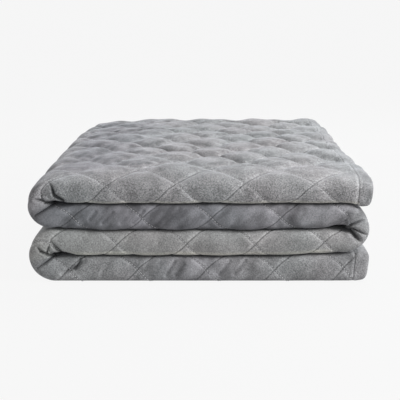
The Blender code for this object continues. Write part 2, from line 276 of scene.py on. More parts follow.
# below, each rise and bell has a place and a length in metres, and each sewn wave has the size and turn
# of its two waves and the share of the smaller one
def settle(points):
    """Crowns the middle, draws in the back corners and lets the sections and hems wander."""
    x, y, z = points[:, 0].copy(), points[:, 1].copy(), points[:, 2].copy()
    level = np.clip(z / STACK_HEIGHT, 0, 1)
    half_way = np.sin(math.pi * level)
    end = np.clip(np.abs(x) / CROWN_SPAN[0], 0, 1)
    back = np.clip(y / CROWN_SPAN[1], 0, 1)
    z += CROWN * np.sin(math.pi * back**CROWN_LEAN) * (1 - end**4) * level**1.5
    z -= CORNER_DROOP * rise(-x, 0.09, 0.13) * rise(y, 0.40, 0.20) * level**2
    rising = rise(x, 0.07, 0.14) * 2 * half_way * (1 - level)
    z += LIFTS["right"] * rising + LIFTS["left"] * rise(-x, 0.12, 0.09) * half_way
    left = np.clip(-x / WIDEST, 0, 1) ** 6
    x += left * (LEFT_TAPER * y - LEFT_OUT + CORNER_PULL * rise(y, 0.50, 0.10))
    drawn = WAIST * bell(y, 0.29, 0.13) + CORNER_SKEW * rise(y, 0.40, 0.18)
    x -= np.clip(x / WIDEST, 0, 1) ** 6 * drawn * level**2
    upper = RIPPLE * rise(level, 0.72, 0.1)
    free = upper * rise(x, 0.17, 0.05) * rise(y, 0.03, 0.05)
    rear = upper * rise(y, 0.53, 0.06)
    x += free * sewn_wave(y, 0.0125, 1.0, 0.0071, 0.0, 0.7)
    z += free * sewn_wave(y, 0.0153, 2.0, 0.0083, 0.5, 0.6)
    z += rear * sewn_wave(x, 0.0147, 0.4, 0.0079, 1.9, 0.7)
    return np.column_stack([x, y, z])


crowned = settle(np.array([[0.0, DEPTH / 3, STACK_HEIGHT]]))[0, 2]
print(f"settled, the middle of the top is {crowned * 1000:.0f} mm high")

# %% [markdown]
# ## Quilting, by simulation
#
# Two lines of stitches cross the quilt and pin its layers together in diamonds of about 92 by 97 mm. The
# cloth between them is a little too large for its diamond, so it puffs up and puckers at the stitches.
# A formula gives puffs that are all alike. Blender's Cloth gives the unevenness of real ones: a flat
# panel is pinned along the seams, made a few percent larger, and blown up a little from below. The panel
# is simulated ten times too large, because Cloth is steadier at that size.

# %% Name the quilting sizes
DIAMOND_ALONG = 0.0917  # a quilted diamond, point to point
DIAMOND_ACROSS = 0.0970
FIRST_CROSSING = 0.0762  # from the free end to the first crossing of the seams
NOSE_DRIFT = 0.0160  # how far the front fold of the top section misses the crossings
DRIFT_SHARE = 0.6  # the part of the top section that has all of it
PANEL_SIZE = (6, 8)  # diamonds along and across
PANEL_START = -1  # the panel starts one diamond before the first crossing, both ways
PANEL_STEPS = 24  # squares of the grid to a diamond
PANEL_SHAPE = tuple(diamonds * PANEL_STEPS + 1 for diamonds in PANEL_SIZE)
PANEL_SCALE = 10
PANEL_LIFT = 0.004  # the free cloth starts a little above its seams
SPARE_CLOTH = 0.05  # how much larger the cloth is than its diamond
FRAMES = 30


def drift(along):
    """How far the crossings of the seams lie above the front fold's middle."""
    return NOSE_DRIFT * (1 - rise(along, DRIFT_SHARE * TOP_END, DRIFT_SHARE * TOP_END))


def in_diamonds(along, across):
    """A place on the flat cloth, counted in diamonds from the first crossing of the seams."""
    return (along - FIRST_CROSSING) / DIAMOND_ALONG, (across - drift(along)) / DIAMOND_ACROSS


print(f"{LENGTH / DIAMOND_ALONG:.1f} by {2 * HALF_WIDTH / DIAMOND_ACROSS:.1f} diamonds on the quilt")


# %% Make the flat panel
def add_object(name, data):
    """Puts an object with the given mesh, light or camera in the scene."""
    made = bpy.data.objects.new(name, data)
    bpy.context.scene.collection.objects.link(made)
    return made


def seam_points():
    """Which points of the panel's grid lie on a line of stitches, and which on its rim."""
    i, j = np.indices(PANEL_SHAPE)
    seam = ((i + j) % PANEL_STEPS == 0) | ((i - j) % PANEL_STEPS == 0)
    rim = (i == 0) | (j == 0) | (i == PANEL_SHAPE[0] - 1) | (j == PANEL_SHAPE[1] - 1)
    return seam, rim


def make_panel():
    """The quilt's flat panel, as an object with the pinned points in a group."""
    x = np.linspace(0, PANEL_SIZE[0] * DIAMOND_ALONG * PANEL_SCALE, PANEL_SHAPE[0])
    y = np.linspace(0, PANEL_SIZE[1] * DIAMOND_ACROSS * PANEL_SCALE, PANEL_SHAPE[1])
    x, y = np.meshgrid(x, y, indexing="ij")
    seam, rim = seam_points()
    z = PANEL_LIFT + np.random.default_rng(3).normal(0, PANEL_LIFT / 2, x.shape)
    z[seam] = 0
    points = np.column_stack([x.ravel(), y.ravel(), z.ravel()])
    number = np.arange(x.size).reshape(x.shape)
    corners = (number[:-1, :-1], number[1:, :-1], number[1:, 1:], number[:-1, 1:])
    faces = np.stack([c.ravel() for c in corners], axis=1)
    mesh = bpy.data.meshes.new("quilting_panel")
    mesh.from_pydata(points.tolist(), [], faces.tolist())
    panel = add_object("quilting_panel", mesh)
    pinned = panel.vertex_groups.new(name="pinned")
    pinned.add([int(n) for n in number[seam | rim]], 1.0, "REPLACE")
    return panel


print(f"{seam_points()[0].sum()} of the panel's points lie on its seams")


# %% Blow it up
def add_cloth(panel):
    """Gives the panel a Cloth modifier that is pinned at the seams and blown up from below."""
    modifier = panel.modifiers.new("quilting", "CLOTH")
    cloth = modifier.settings
    cloth.quality = 6
    cloth.mass = 0.3
    stiffness = {"tension": 20, "compression": 20, "shear": 8, "bending": 0.9}
    damping = {"tension": 10, "compression": 10, "shear": 10, "bending": 0.5}
    for kind in stiffness:
        setattr(cloth, f"{kind}_stiffness", stiffness[kind])
        setattr(cloth, f"{kind}_damping", damping[kind])
    cloth.air_damping = 2
    cloth.vertex_group_mass = "pinned"
    cloth.pin_stiffness = 5
    cloth.use_pressure = True
    cloth.uniform_pressure_force = 2.0
    cloth.shrink_min = -SPARE_CLOTH
    cloth.shrink_max = -SPARE_CLOTH
    cloth.effector_weights.gravity = 0
    modifier.collision_settings.use_collision = False
    modifier.point_cache.frame_start = 1
    modifier.point_cache.frame_end = FRAMES


print(f"{FRAMES} frames of Cloth on {PANEL_SHAPE[0] * PANEL_SHAPE[1]} points")


# %% Read the blown panel
def read_vectors(items, name):
    """Three numbers for each point of a mesh, one row for a point."""
    values = np.empty(len(items) * 3, np.float32)
    items.foreach_get(name, values)
    return values.reshape(-1, 3).astype(float)


def simulated_heights():
    """Heights of the panel's grid in metres once it is blown up, with 0 on the seams."""
    panel = make_panel()
    add_cloth(panel)
    for number in range(1, FRAMES + 1):
        bpy.context.scene.frame_set(number)
    blown = panel.evaluated_get(bpy.context.evaluated_depsgraph_get()).to_mesh()
    heights = read_vectors(blown.vertices, "co")[:, 2].reshape(PANEL_SHAPE) / PANEL_SCALE
    bpy.data.objects.remove(panel)
    bpy.context.scene.frame_set(1)
    return heights


heights = simulated_heights()
print(f"puffs up to {heights.max() * 1000:.1f} mm high on the panel")

# %% Soften and scale the puffs
ROUNDNESS = 0.62  # less fills the puffs out between their crown and their seams


def softened(grid):
    """Averages each point of a grid with its neighbours."""
    for axis in (0, 1):
        last = grid.shape[axis] - 1
        before = np.concatenate([grid.take([0], axis), grid.take(range(last), axis)], axis)
        after = np.concatenate([grid.take(range(1, last + 1), axis), grid.take([-1], axis)], axis)
        grid = 0.5 * grid + 0.25 * (before + after)
    return grid


def crown_height(grid):
    """Mean height in the middles of the diamonds."""
    crowns = grid[PANEL_STEPS // 2 :: PANEL_STEPS, ::PANEL_STEPS][:, 1:-1]
    return float(crowns.mean())


PUFFS = softened(np.clip(heights, 0, None))
PUFFS = (PUFFS / crown_height(PUFFS)) ** ROUNDNESS
print(f"the highest crown is {PUFFS.max():.2f} of the mean one")


# %% Read the puffs anywhere on the quilt
def bounce(value, size):
    """Runs to and fro between 0 and size, so that the panel is used again beyond its rim."""
    value = np.mod(value, 2 * size)
    return np.where(value > size, 2 * size - value, value)


def curve_weights(t):
    """Weights of four neighbours for a smooth curve through them."""
    return (
        0.5 * (-t + 2 * t**2 - t**3),
        0.5 * (2 - 5 * t**2 + 3 * t**3),
        0.5 * (t + 4 * t**2 - 3 * t**3),
        0.5 * (t**3 - t**2),
    )


def puff(along, across):
    """0 on the seams and about 1 on a crown."""
    lows, weights = [], []
    for place, size, count in zip(in_diamonds(along, across), PANEL_SIZE, PANEL_SHAPE):
        step = np.clip(bounce(place - PANEL_START, size) * PANEL_STEPS, 0, count - 1.001)
        lows.append(step.astype(int))
        weights.append(curve_weights(step - lows[-1]))
    found = np.zeros_like(along)
    for a, weight_i in enumerate(weights[0]):
        row = np.clip(lows[0] + a - 1, 0, PANEL_SHAPE[0] - 1)
        for b, weight_j in enumerate(weights[1]):
            column = np.clip(lows[1] + b - 1, 0, PANEL_SHAPE[1] - 1)
            found += weight_i * weight_j * PUFFS[row, column]
    return found


def seam_distance(along, across):
    """Distance to the nearest line of stitches, in metres."""
    i, j = in_diamonds(along, across)
    nearest = np.minimum(np.abs(i + j - np.round(i + j)), np.abs(i - j - np.round(i - j)))
    return nearest / math.hypot(1 / DIAMOND_ALONG, 1 / DIAMOND_ACROSS)


crown = np.array([FIRST_CROSSING + DIAMOND_ALONG / 2]), np.array([NOSE_DRIFT])
from_seam = seam_distance(*crown)[0] * 1000
print(f"the first crown is {puff(*crown)[0]:.2f} high and {from_seam:.0f} mm from a seam")

# %% [markdown]
# ## How deep the seams lie
#
# The seams are deep on top, where nothing presses on the puffs, and shallow round the front, where the
# cloth is stretched. Inside the right fold and between the layers they hardly show. The underside is flat
# on the floor. A hem of 19 mm runs round the edge behind one more line of stitches. All of this is one
# number, the depth that the cloth sinks below its smooth outside, and a little noise makes no two puffs
# alike. Where the cloth lies free on top, it also strays by a few millimetres, so the seams aren't
# quite straight.

# %% Find the edges, the top and the bottom
HEM = 0.0192  # free edge to its line of stitches


def edge_distance(along, across):
    """Distance to the nearest free edge."""
    return np.minimum(np.minimum(along, LENGTH - along), HALF_WIDTH - np.abs(across))


def on_top(along, across):
    """1 on the top of the stack and 0 elsewhere, with a soft border."""
    inside = rise(across, NOSE_ARC, 0.06) * smooth((TOP_END - along) / 0.04 + 0.5)
    return inside * rise(edge_distance(along, across), 0, 0.05)


def on_floor(along, across):
    """Where the cloth lies flat on what the blanket stands on."""
    return (across > NOSE_ARC - 1e-6) & (along >= BOTTOM_START)


def folded_half(along):
    """0 on the hemmed half of the top and 1 on the folded half, which lies flatter."""
    return rise(along, 0.22, 0.16)


def in_right_fold(along):
    """1 inside the right side fold, where the stretched cloth hides its seams, and 0 outside."""
    fold = FOLDS[1]
    return rise(along, fold["start"], 0.012) * rise(fold["end"] - along, 0, 0.012)


print(f"the hem is {HEM * 1000:.1f} mm wide")

# %% Let the free cloth wander and crumple
SINES = 7  # waves that are added up
SINES_HEIGHT = 3.2  # and about how high they rise together
# how far the free cloth strays, and over what size of wave, in metres, with the seed of the wave
ASIDE = ((0.0050, 0.13, 11), (0.0009, 0.05, 14))
BACK = ((0.0055, 0.14, 12), (0.0011, 0.055, 15))
UP = ((0.0016, 0.19, 13),)
RUCKS = ((0.0013, 0.045, 21), (0.0006, 0.028, 22))


def waves(along, across, size, seed):
    """Soft uneven waves between about -1 and 1, of the given size in metres."""
    chance = np.random.default_rng(seed)
    total = np.zeros_like(along)
    for _ in range(SINES):
        angle, turn = chance.uniform(0, 2 * math.pi, 2)
        length = size * chance.uniform(0.7, 1.6)
        place = along * math.cos(angle) + across * math.sin(angle)
        total += np.sin(2 * math.pi * place / length + turn)
    return total / SINES_HEIGHT


def wander(along, across):
    """How far the free cloth on top strays to the side, to the back and up, as columns."""
    loose = on_top(along, across)
    moves = []
    for way in (ASIDE, BACK, UP):
        moves.append(loose * sum(far * waves(along, across, size, seed) for far, size, seed in way))
    return np.column_stack(moves)


def rucks(along, across):
    """Short uneven valleys in the puffs, where a hand has left the cloth a little crumpled."""
    deep = 0
    for depth, size, seed in RUCKS:
        deep = deep + depth * np.clip(1 - 1.5 * np.abs(waves(along, across, size, seed)), 0, 1) ** 2
    patches = 0.35 + 0.65 * smooth(0.5 + waves(along, across, 0.11, 23))
    patches *= 1 - 0.7 * folded_half(along)
    return deep * patches * (0.16 + 0.84 * on_top(along, across))


straying = [round(1000 * sum(part[0] for part in way), 1) for way in (ASIDE, BACK, UP)]
print("the cloth on top strays aside, back and up by", straying, "mm")

# %% Name the depths
SEAM_DEPTHS = {"top": 0.0124, "shoulder": 0.0052, "side": 0.0050, "hidden": 0.0014}
NOSE_SEAMS = (0.0038, 0.0058, 0.0034, 0.0058)  # for each section, from the top
# the share of the depth that is lost in places
FLATTER = {"folded half": 0.36, "hemmed end": 0.16, "right fold": 0.85}
FULL_PUFFS = 1.7  # more makes the puffs flatter on top and steeper at the seams
STITCH_PULL = 0.0009  # how far the thread bites into the seam
STITCH_BITE = 0.0017  # and how far to each side
HEM_GROOVE = 0.0022  # depth and width of the hem's line of stitches
EDGE_DROP = 0.0026  # how much the free edge rounds off
END_FULLNESS = {"top": 0.0045, "bottom": 0.0032}  # an end swells where the fold beside it leaves room
TEARDROP_REACH = 0.0320  # how far the hollow inside a side fold runs out


def seam_depth(along, across):
    """Depth of the seams: deep where the quilt lies free, shallow where it is pressed or stretched."""
    hidden, shoulder = SEAM_DEPTHS["hidden"], SEAM_DEPTHS["shoulder"]
    into_fold = rise(along, TOP_END, 0.05)
    side = (across > 0) * into_fold * (1 - rise(along, FOLDS[0]["end"], 0.02))
    free = shoulder + (SEAM_DEPTHS["top"] - shoulder) * rise(across, 0.06, 0.08)
    free = free * (1 - FLATTER["folded half"] * folded_half(along))
    free = free * (1 - FLATTER["hemmed end"] * (1 - rise(along, 0.03, 0.10)))
    depth = hidden + (across > 0) * (1 - into_fold) * (free - hidden)
    depth = depth + side * (SEAM_DEPTHS["side"] - hidden)
    on_nose = 1 - rise(np.abs(across), 0.38 * NOSE_ARC, 0.50 * NOSE_ARC)
    nose = np.interp(along, SECTION_ENDS, np.repeat(NOSE_SEAMS, 2))
    nose = nose * (1 - FLATTER["right fold"] * in_right_fold(along))
    return depth + on_nose * (nose - depth)


print("seams from", SEAM_DEPTHS["hidden"] * 1000, "to", SEAM_DEPTHS["top"] * 1000, "mm deep")


# %% Work out how far the cloth sinks
def sinking(along, across):
    """How far the outer face lies inside the full thickness of the section."""
    unevenness = 1 + 0.28 * waves(along, across, 0.16, 5)
    raised = np.clip(puff(along, across), 0, None)
    valley = seam_depth(along, across) * unevenness * np.clip(1 - raised, 0, 1) ** FULL_PUFFS
    valley += STITCH_PULL * bell(seam_distance(along, across), 0, STITCH_BITE)
    valley += rucks(along, across) * np.clip(2 * raised, 0, 1)
    edge = edge_distance(along, across)
    valley *= rise(edge, HEM, 0.008)
    groove = HEM_GROOVE * bell(edge, HEM, HEM_GROOVE)
    rounding = EDGE_DROP * np.clip(1 - edge / HEM, 0, 1) ** 2
    low = rise(across, -0.2 * NOSE_ARC, 0.8 * NOSE_ARC) * smooth((along - BOTTOM_START) / 0.02 + 1)
    sunk = np.where(on_floor(along, across), 0, valley * (1 - low) + groove * (1 - 0.8 * low))
    return sunk + rounding


def hollow(along, across):
    """How far the inner leaf draws back inside each side fold."""
    drawn = np.zeros_like(along)
    for fold in FOLDS:
        away = np.maximum(np.maximum(fold["start"] - along, along - fold["end"]), 0)
        drawn += (across * fold["side"] > 0) * fold["teardrop"] * (1 - rise(away, 0, TEARDROP_REACH))
    return drawn


def fullness(along, across):
    """How far a free end swells towards the fold beside it."""
    top = END_FULLNESS["top"] * (1 - rise(along, 0.6 * HEM, HEM))
    bottom = END_FULLNESS["bottom"] * (1 - rise(LENGTH - along, 0.6 * HEM, HEM))
    return (across < 0) * (top + bottom)


ends = fullness(np.array([0.0, LENGTH]), np.array([-0.1, -0.1]))
print("the free ends swell by", [round(float(e) * 1000, 1) for e in ends], "mm")

# %% [markdown]
# ## Creases at the side folds
#
# Where the quilt turns a corner at the front, its thickness has nowhere to go. The cloth on the inside of
# the turn buckles into a few deep creases that run together into the gap between two sections, while the
# outside stays tight. Each crease is a line on the front, given from the middle of its fold, with its own
# depth and width. A profile of two round bulges that meet makes it look like cloth and not like a cut.

# %% List the creases
# fold number, then the places right of and above the fold's middle with the depth there, then the
# half width of the crease, all in mm
CREASES = (
    (0, ((-6.5, 34.7, 1.0), (-2.0, 29.0, 4.0), (0.2, 23.6, 8.0), (2.7, 14.6, 12.0), (14.4, 8.0, 9.0)), 4.2),
    (0, ((-23.2, 9.1, 2.5), (-12.8, 8.0, 7.0), (-9.7, 4.6, 9.0), (4.0, 5.5, 12.0)), 4.2),
    (0, ((-24.0, -13.0, 4.0), (-10.0, -4.2, 9.0), (1.2, 2.3, 11.0), (7.7, 4.6, 9.0)), 3.8),
    (0, ((-13.0, 18.0, 1.0), (-14.5, 13.0, 2.5), (-12.8, 8.0, 4.5)), 3.4),
    (1, ((4.1, 5.5, 10.0), (10.5, 9.9, 8.0), (27.0, 16.1, 2.5)), 4.6),
    (1, ((9.0, 4.0, 12.0), (13.8, 3.6, 9.0), (29.3, -4.2, 2.5)), 4.2),
    (1, ((1.0, 4.0, 12.0), (10.0, 1.0, 17.0), (16.0, -6.0, 12.5), (22.0, -13.0, 3.0)), 7.0),
    (2, ((-4.2, 22.0, 2.0), (2.2, 14.0, 8.0), (9.7, 6.0, 10.0), (25.0, 2.6, 6.0)), 4.2),
    (2, ((-22.2, 12.9, 2.5), (-18.0, 7.3, 8.0), (-9.2, 2.6, 9.0), (0.6, 1.5, 10.0)), 4.2),
    (2, ((-24.0, -16.0, 4.0), (-9.5, -5.5, 9.0), (-1.6, 0.3, 11.0), (11.8, 4.9, 9.0)), 3.8),
    (2, ((-7.8, 12.9, 4.0), (-10.3, 6.0, 7.0), (-9.2, 2.6, 8.0)), 3.6),
    (
        2,
        ((35.0, -3.0, 5.0), (33.0, -7.5, 6.5), (28.0, -14.4, 6.5), (19.0, -18.0, 5.5), (9.0, -23.5, 2.5)),
        5.5,
    ),
)
# soft pull wrinkles on the fronts: the ends, x and height, then the depth and the half width, all in mm
PULLS = (
    ((-115.6, 94.8), (-129.1, 81.0), 2.60, 4.5),
    ((-138.0, 96.0), (-146.0, 86.0), 2.34, 4.5),
    ((-92.0, 95.5), (-105.0, 81.0), 1.95, 4.5),
    ((-75.1, 96.6), (-88.7, 81.0), 2.60, 4.5),
    ((-28.0, 99.9), (-48.7, 77.6), 1.56, 5.2),
    ((-154.2, 28.9), (-167.8, 17.8), 2.60, 4.5),
    ((-34.0, 28.0), (-45.0, 9.0), 2.34, 4.5),
    ((-22.0, 24.0), (-33.0, 9.0), 1.82, 4.5),
    ((39.5, 28.9), (25.5, 10.9), 2.34, 4.5),
    ((60.0, 28.9), (46.4, 10.9), 2.34, 4.5),
    ((-120.0, 30.0), (-132.0, 10.0), 1.56, 5.2),
)
CREASE_REACH = 0.030  # how far behind the front a crease runs out
CREASE_SHARPNESS = 2.1  # more makes the two bulges beside a crease rounder
EYE = (0.0, -1.235, 0.389)  # from where the creases were placed, in front of the stack
EYE_PLANE = 0.004


def fold_middle(number):
    """x and height of the middle of a side fold."""
    return np.array([FOLDS[number]["x"], section_height(number) - FOLD_RADIUS])


def crease_lines():
    """All creases in metres: each line's spots and depths, its half width, and whether it is sharp."""
    lines = []
    for number, places, width in CREASES:
        spots = [(fold_middle(number) + np.array(place[:2]) / 1000, place[2] / 1000) for place in places]
        lines.append((spots, width / 1000, True))
    for start, end, depth, width in PULLS:
        spots = [(np.array(place) / 1000, depth / 1000) for place in (start, end)]
        lines.append((spots, width / 1000, False))
    return lines


LINES = crease_lines()
print(f"{len(CREASES)} creases and {len(PULLS)} pull wrinkles")


# %% Measure how close a point is to a crease
def front_view(points):
    """x and height of where each point seems to lie on the front of the stack."""
    share = (EYE_PLANE - EYE[1]) / (points[:, 1] - EYE[1])
    x = EYE[0] + (points[:, 0] - EYE[0]) * share
    z = EYE[2] + (points[:, 2] - EYE[2]) * share
    return np.column_stack([x, z])


def piece_distance(seen, start, end):
    """Distance of each seen place to a straight piece, and how far along the piece its nearest spot is."""
    step = end - start
    share = np.clip(((seen - start) @ step) / (step @ step), 0, 1)
    return np.linalg.norm(seen - start - share[:, None] * step, axis=1), share


def crease_depth(points):
    """How far each point is pushed back by the creases and pull wrinkles."""
    seen = front_view(points)
    deep, soft = np.zeros(len(points)), np.zeros(len(points))
    for spots, width, sharp in LINES:
        pushed = np.zeros(len(points))
        for (start, first), (end, last) in zip(spots, spots[1:]):
            away, share = piece_distance(seen, start, end)
            near = np.clip(1 - away / width, 0, 1)
            profile = near**CREASE_SHARPNESS if sharp else smooth(near)
            pushed = np.maximum(pushed, (first + (last - first) * share) * profile)
        if sharp:
            deep = np.maximum(deep, pushed)
        else:
            soft += pushed
    return (deep + soft) * (1 - rise(points[:, 1], 0.4 * CREASE_REACH, 0.6 * CREASE_REACH))


deepest = max(depth for spots, _, _ in LINES for _, depth in spots)
print(f"the deepest crease is pushed back by {deepest * 1000:.0f} mm")


# %% [markdown]
# ## Both faces of the quilt
#
# The quilted outer face carries all that shows. The plain inner face lies between the two leaves of each
# section. Both are places on the flat cloth, sent through the middle line, the nose and the settling.

# %% Place the faces
# how far the right ends lean at the front: the top one out at its rim and in at its foot, the bottom one
# the same way, and the fold between them out
END_LEAN = {"rim": 0.0050, "foot": 0.0020, "bottom": 0.0024, "fold": 0.0014}


def end_bulge(along, y, middle, height):
    """How far the right ends and folds lean out at the front, more at their top or at their bottom."""
    up = np.clip((height - middle) / HALF_PACK, -1.2, 1.2)
    top = END_LEAN["rim"] * np.clip(up, 0, 2) ** 2 + END_LEAN["foot"] * np.clip(up, -2, 0)
    lean = top * (1 - rise(along, 0, 0.05))
    lean += END_LEAN["bottom"] * up * (1 - rise(LENGTH - along, 0, 0.05))
    fold = FOLDS[1]
    turn = np.clip((along - fold["start"]) / (fold["end"] - fold["start"]), 0, 1)
    lean += END_LEAN["fold"] * np.sin(math.pi * turn**1.5)
    return lean * bell(y, 0.030, 0.055)


def folded(along, across, y, h):
    """Points at y and at a height h over the middle line, in the settled stack."""
    x, z, nx, nz = middle_line(along)
    return settle(np.column_stack([x + nx * h, y, z + nz * h]))


def smooth_place(along, across):
    """Points of the outer face without its relief."""
    y, h, _, _ = across_profile(along, across)
    return folded(along, across, y, h)


def outer_face(along, across):
    """Points of the quilted face for places on the flat cloth."""
    y, h, ny, nh = across_profile(along, across)
    share = h / HALF_PACK
    sunk = sinking(along, across)
    h = h - share * hollow(along, across) - sunk * nh + share * fullness(along, across)
    points = folded(along, across, y - sunk * ny, h) + wander(along, across)
    points[:, 0] += end_bulge(along, points[:, 1], middle_line(along)[1], points[:, 2])
    points[:, 1] += crease_depth(points)
    points[points[:, 2] < 1e-5, 2] = 0.0
    return points


def inner_face(along, across):
    """Points of the plain face that the two leaves of a section turn to each other."""
    y = np.maximum(HALF_PACK, NOSE_DEPTH + np.abs(across) - NOSE_ARC)
    return folded(along, across, y, np.sign(across) * LEAF_GAP / 2)


corner = outer_face(np.array([HEM]), np.array([0.0]))[0]
print("the top hem meets the front at", [round(float(c), 3) for c in corner])

# %% [markdown]
# ## A mesh that follows the stitches
#
# An even grid would cut across the seams and saw their valleys into teeth. This mesh starts as large
# triangles whose edges lie on the seams, and halves them again and again, so a seam is always an edge.
# It is fine where the cloth shows, finest at the creases, and coarse between the layers.

# %% Halve triangles
HALVINGS = 12  # at most


class SeamMesh:
    """Right-angled triangles between the seams, halved at their long edge where they need to be finer."""

    def __init__(self, fineness):
        self.unit = 2**fineness
        self.index, self.places = {}, []
        self.triangles, self.owner = {}, {}
        self.count = 0

    def vertex(self, i, j):
        if (i, j) not in self.index:
            self.index[i, j] = len(self.places)
            along = FIRST_CROSSING + i / self.unit * DIAMOND_ALONG / 2
            self.places.append((i, j, along, j / self.unit * DIAMOND_ACROSS / 2))
        return self.index[i, j]

    def add(self, apex, left, right):
        self.triangles[self.count] = (apex, left, right)
        for edge in ((apex, left), (left, right), (right, apex)):
            self.owner[edge] = self.count
        self.count += 1

    def split(self, number, middle):
        apex, left, right = self.triangles.pop(number)
        self.add(middle, apex, left)
        self.add(middle, right, apex)

    def halve(self, number):
        """Halves a triangle and the one across its long edge, which is brought to the same size first."""
        _, left, right = self.triangles[number]
        other = self.owner.get((right, left))
        if other is not None and self.triangles[other][1:] != (right, left):
            self.halve(other)
            other = self.owner.get((right, left))
        i = (self.places[left][0] + self.places[right][0]) // 2
        j = (self.places[left][1] + self.places[right][1]) // 2
        middle = self.vertex(i, j)
        self.split(number, middle)
        if other is not None:
            self.split(other, middle)


print(f"a half diamond is halved up to {HALVINGS} times")

# %% Decide how fine each place has to be
# the longest edge of a triangle in metres
LONG_EDGES = {
    "top": 0.0044,
    "nose": 0.0044,
    "side": 0.0072,
    "crease": 0.0016,
    "seam": 0.0030,
    "inside": 0.0240,
    "hidden": 0.0340,
}
MARGIN = 0.012  # the finer mesh begins this far before a fold or the front


def drifted(along, across):
    """A place on the cloth, moved with the seams where the front fold misses their crossings."""
    edge_share = np.clip(1 - (np.abs(across) - 0.1) / (HALF_WIDTH - 0.1), 0, 1)
    return along, across + drift(along) * np.where(across > -0.1, 1, edge_share)


def near_crease(points):
    """Which points lie close to a crease or a pull wrinkle."""
    seen = front_view(points)
    close = np.zeros(len(points), bool)
    for spots, width, _ in LINES:
        for (start, _), (end, _) in zip(spots, spots[1:]):
            close |= piece_distance(seen, start, end)[0] < 0.8 * width
    return close & (points[:, 1] < CREASE_REACH)


def long_edge(along, across):
    """The longest edge that a triangle may have at each place of the flat cloth."""
    along = np.clip(along, 0, LENGTH)
    across = np.clip(across, -HALF_WIDTH, HALF_WIDTH)
    size = np.full(len(along), LONG_EDGES["hidden"])
    for fold in FOLDS:
        outside = across * fold["side"] < 0
        turning = (along > fold["start"] - MARGIN) & (along < fold["end"] + MARGIN)
        size[outside & turning] = LONG_EDGES["side"]
        size[~outside & turning] = LONG_EDGES["inside"]
    size[(across > 0) & (along < TOP_END + 0.02)] = LONG_EDGES["top"]
    size[np.abs(across) < NOSE_ARC + MARGIN] = LONG_EDGES["nose"]
    size[(np.abs(across) < NOSE_ARC) & (seam_distance(along, across) < 0.003)] = LONG_EDGES["seam"]
    size[near_crease(smooth_place(along, across))] = LONG_EDGES["crease"]
    return size


print("edges from", min(LONG_EDGES.values()) * 1000, "to", max(LONG_EDGES.values()) * 1000, "mm")


# %% Cover the flat cloth with triangles
def seam_mesh():
    """Covers the cloth with triangles and halves them until they are fine enough."""
    mesh = SeamMesh(HALVINGS)
    unit = mesh.unit
    first = math.floor(-FIRST_CROSSING / (DIAMOND_ALONG / 2))
    last = math.ceil((LENGTH - FIRST_CROSSING) / (DIAMOND_ALONG / 2))
    rows = math.ceil((HALF_WIDTH + NOSE_DRIFT) / (DIAMOND_ACROSS / 2))
    for i in range(first, last):
        for j in range(-rows, rows):
            a, b = mesh.vertex(i * unit, j * unit), mesh.vertex((i + 1) * unit, j * unit)
            c, d = mesh.vertex((i + 1) * unit, (j + 1) * unit), mesh.vertex(i * unit, (j + 1) * unit)
            if (i + j) % 2:
                mesh.add(a, b, d)
                mesh.add(c, d, b)
            else:
                mesh.add(b, c, a)
                mesh.add(d, a, c)
    for _ in range(HALVINGS):
        numbers = list(mesh.triangles)
        places = np.array([p[2:] for p in mesh.places])
        corners = places[np.array([mesh.triangles[n] for n in numbers])]
        middle = corners.mean(axis=1)
        wanted = long_edge(*drifted(middle[:, 0], middle[:, 1]))
        length = np.linalg.norm(corners[:, 1] - corners[:, 2], axis=1)
        for number in np.array(numbers)[length > wanted]:
            if number in mesh.triangles:
                mesh.halve(number)
    return mesh


seams = seam_mesh()
print(f"{len(seams.triangles)} triangles follow the seams")

# %% Cut the cloth to size
RIM = 0.0050  # how far the turned edge reaches beyond the outer face's mesh
ON_CUT = 0.0004  # a point this close to a cut is moved on to it
ON_EDGE = 0.0006
SAME_POINT = 0.0003


def cut(bm, axis, value, clear):
    """Cuts the flat cloth along a straight line, and drops what lies beyond it if `clear` is 1 or -1."""
    normal = [0.0, 0.0, 0.0]
    normal[axis] = 1.0
    if clear:
        geometry = bm.verts[:] + bm.edges[:] + bm.faces[:]
    else:
        sides = {f: [v.co[axis] for v in f.verts] for f in bm.faces}
        close = [f for f in bm.faces if min(sides[f]) < value < max(sides[f])]
        geometry = list({v for f in close for v in f.verts})
        geometry += list({e for f in close for e in f.edges}) + close
    bmesh.ops.bisect_plane(
        bm,
        geom=geometry,
        dist=ON_CUT,
        plane_co=[n * value for n in normal],
        plane_no=normal,
        clear_outer=clear == 1,
        clear_inner=clear == -1,
    )


print(f"the outer face ends {RIM * 1000:.0f} mm before the cloth does")


# %% Lay the outer face flat
def snap_to_edge(vertex):
    """Moves a point on the cut edge exactly on to it."""
    if vertex.co.x < RIM + ON_EDGE:
        vertex.co.x = RIM
    if vertex.co.x > LENGTH - RIM - ON_EDGE:
        vertex.co.x = LENGTH - RIM
    if abs(vertex.co.y) > HALF_WIDTH - RIM - ON_EDGE:
        vertex.co.y = math.copysign(HALF_WIDTH - RIM, vertex.co.y)


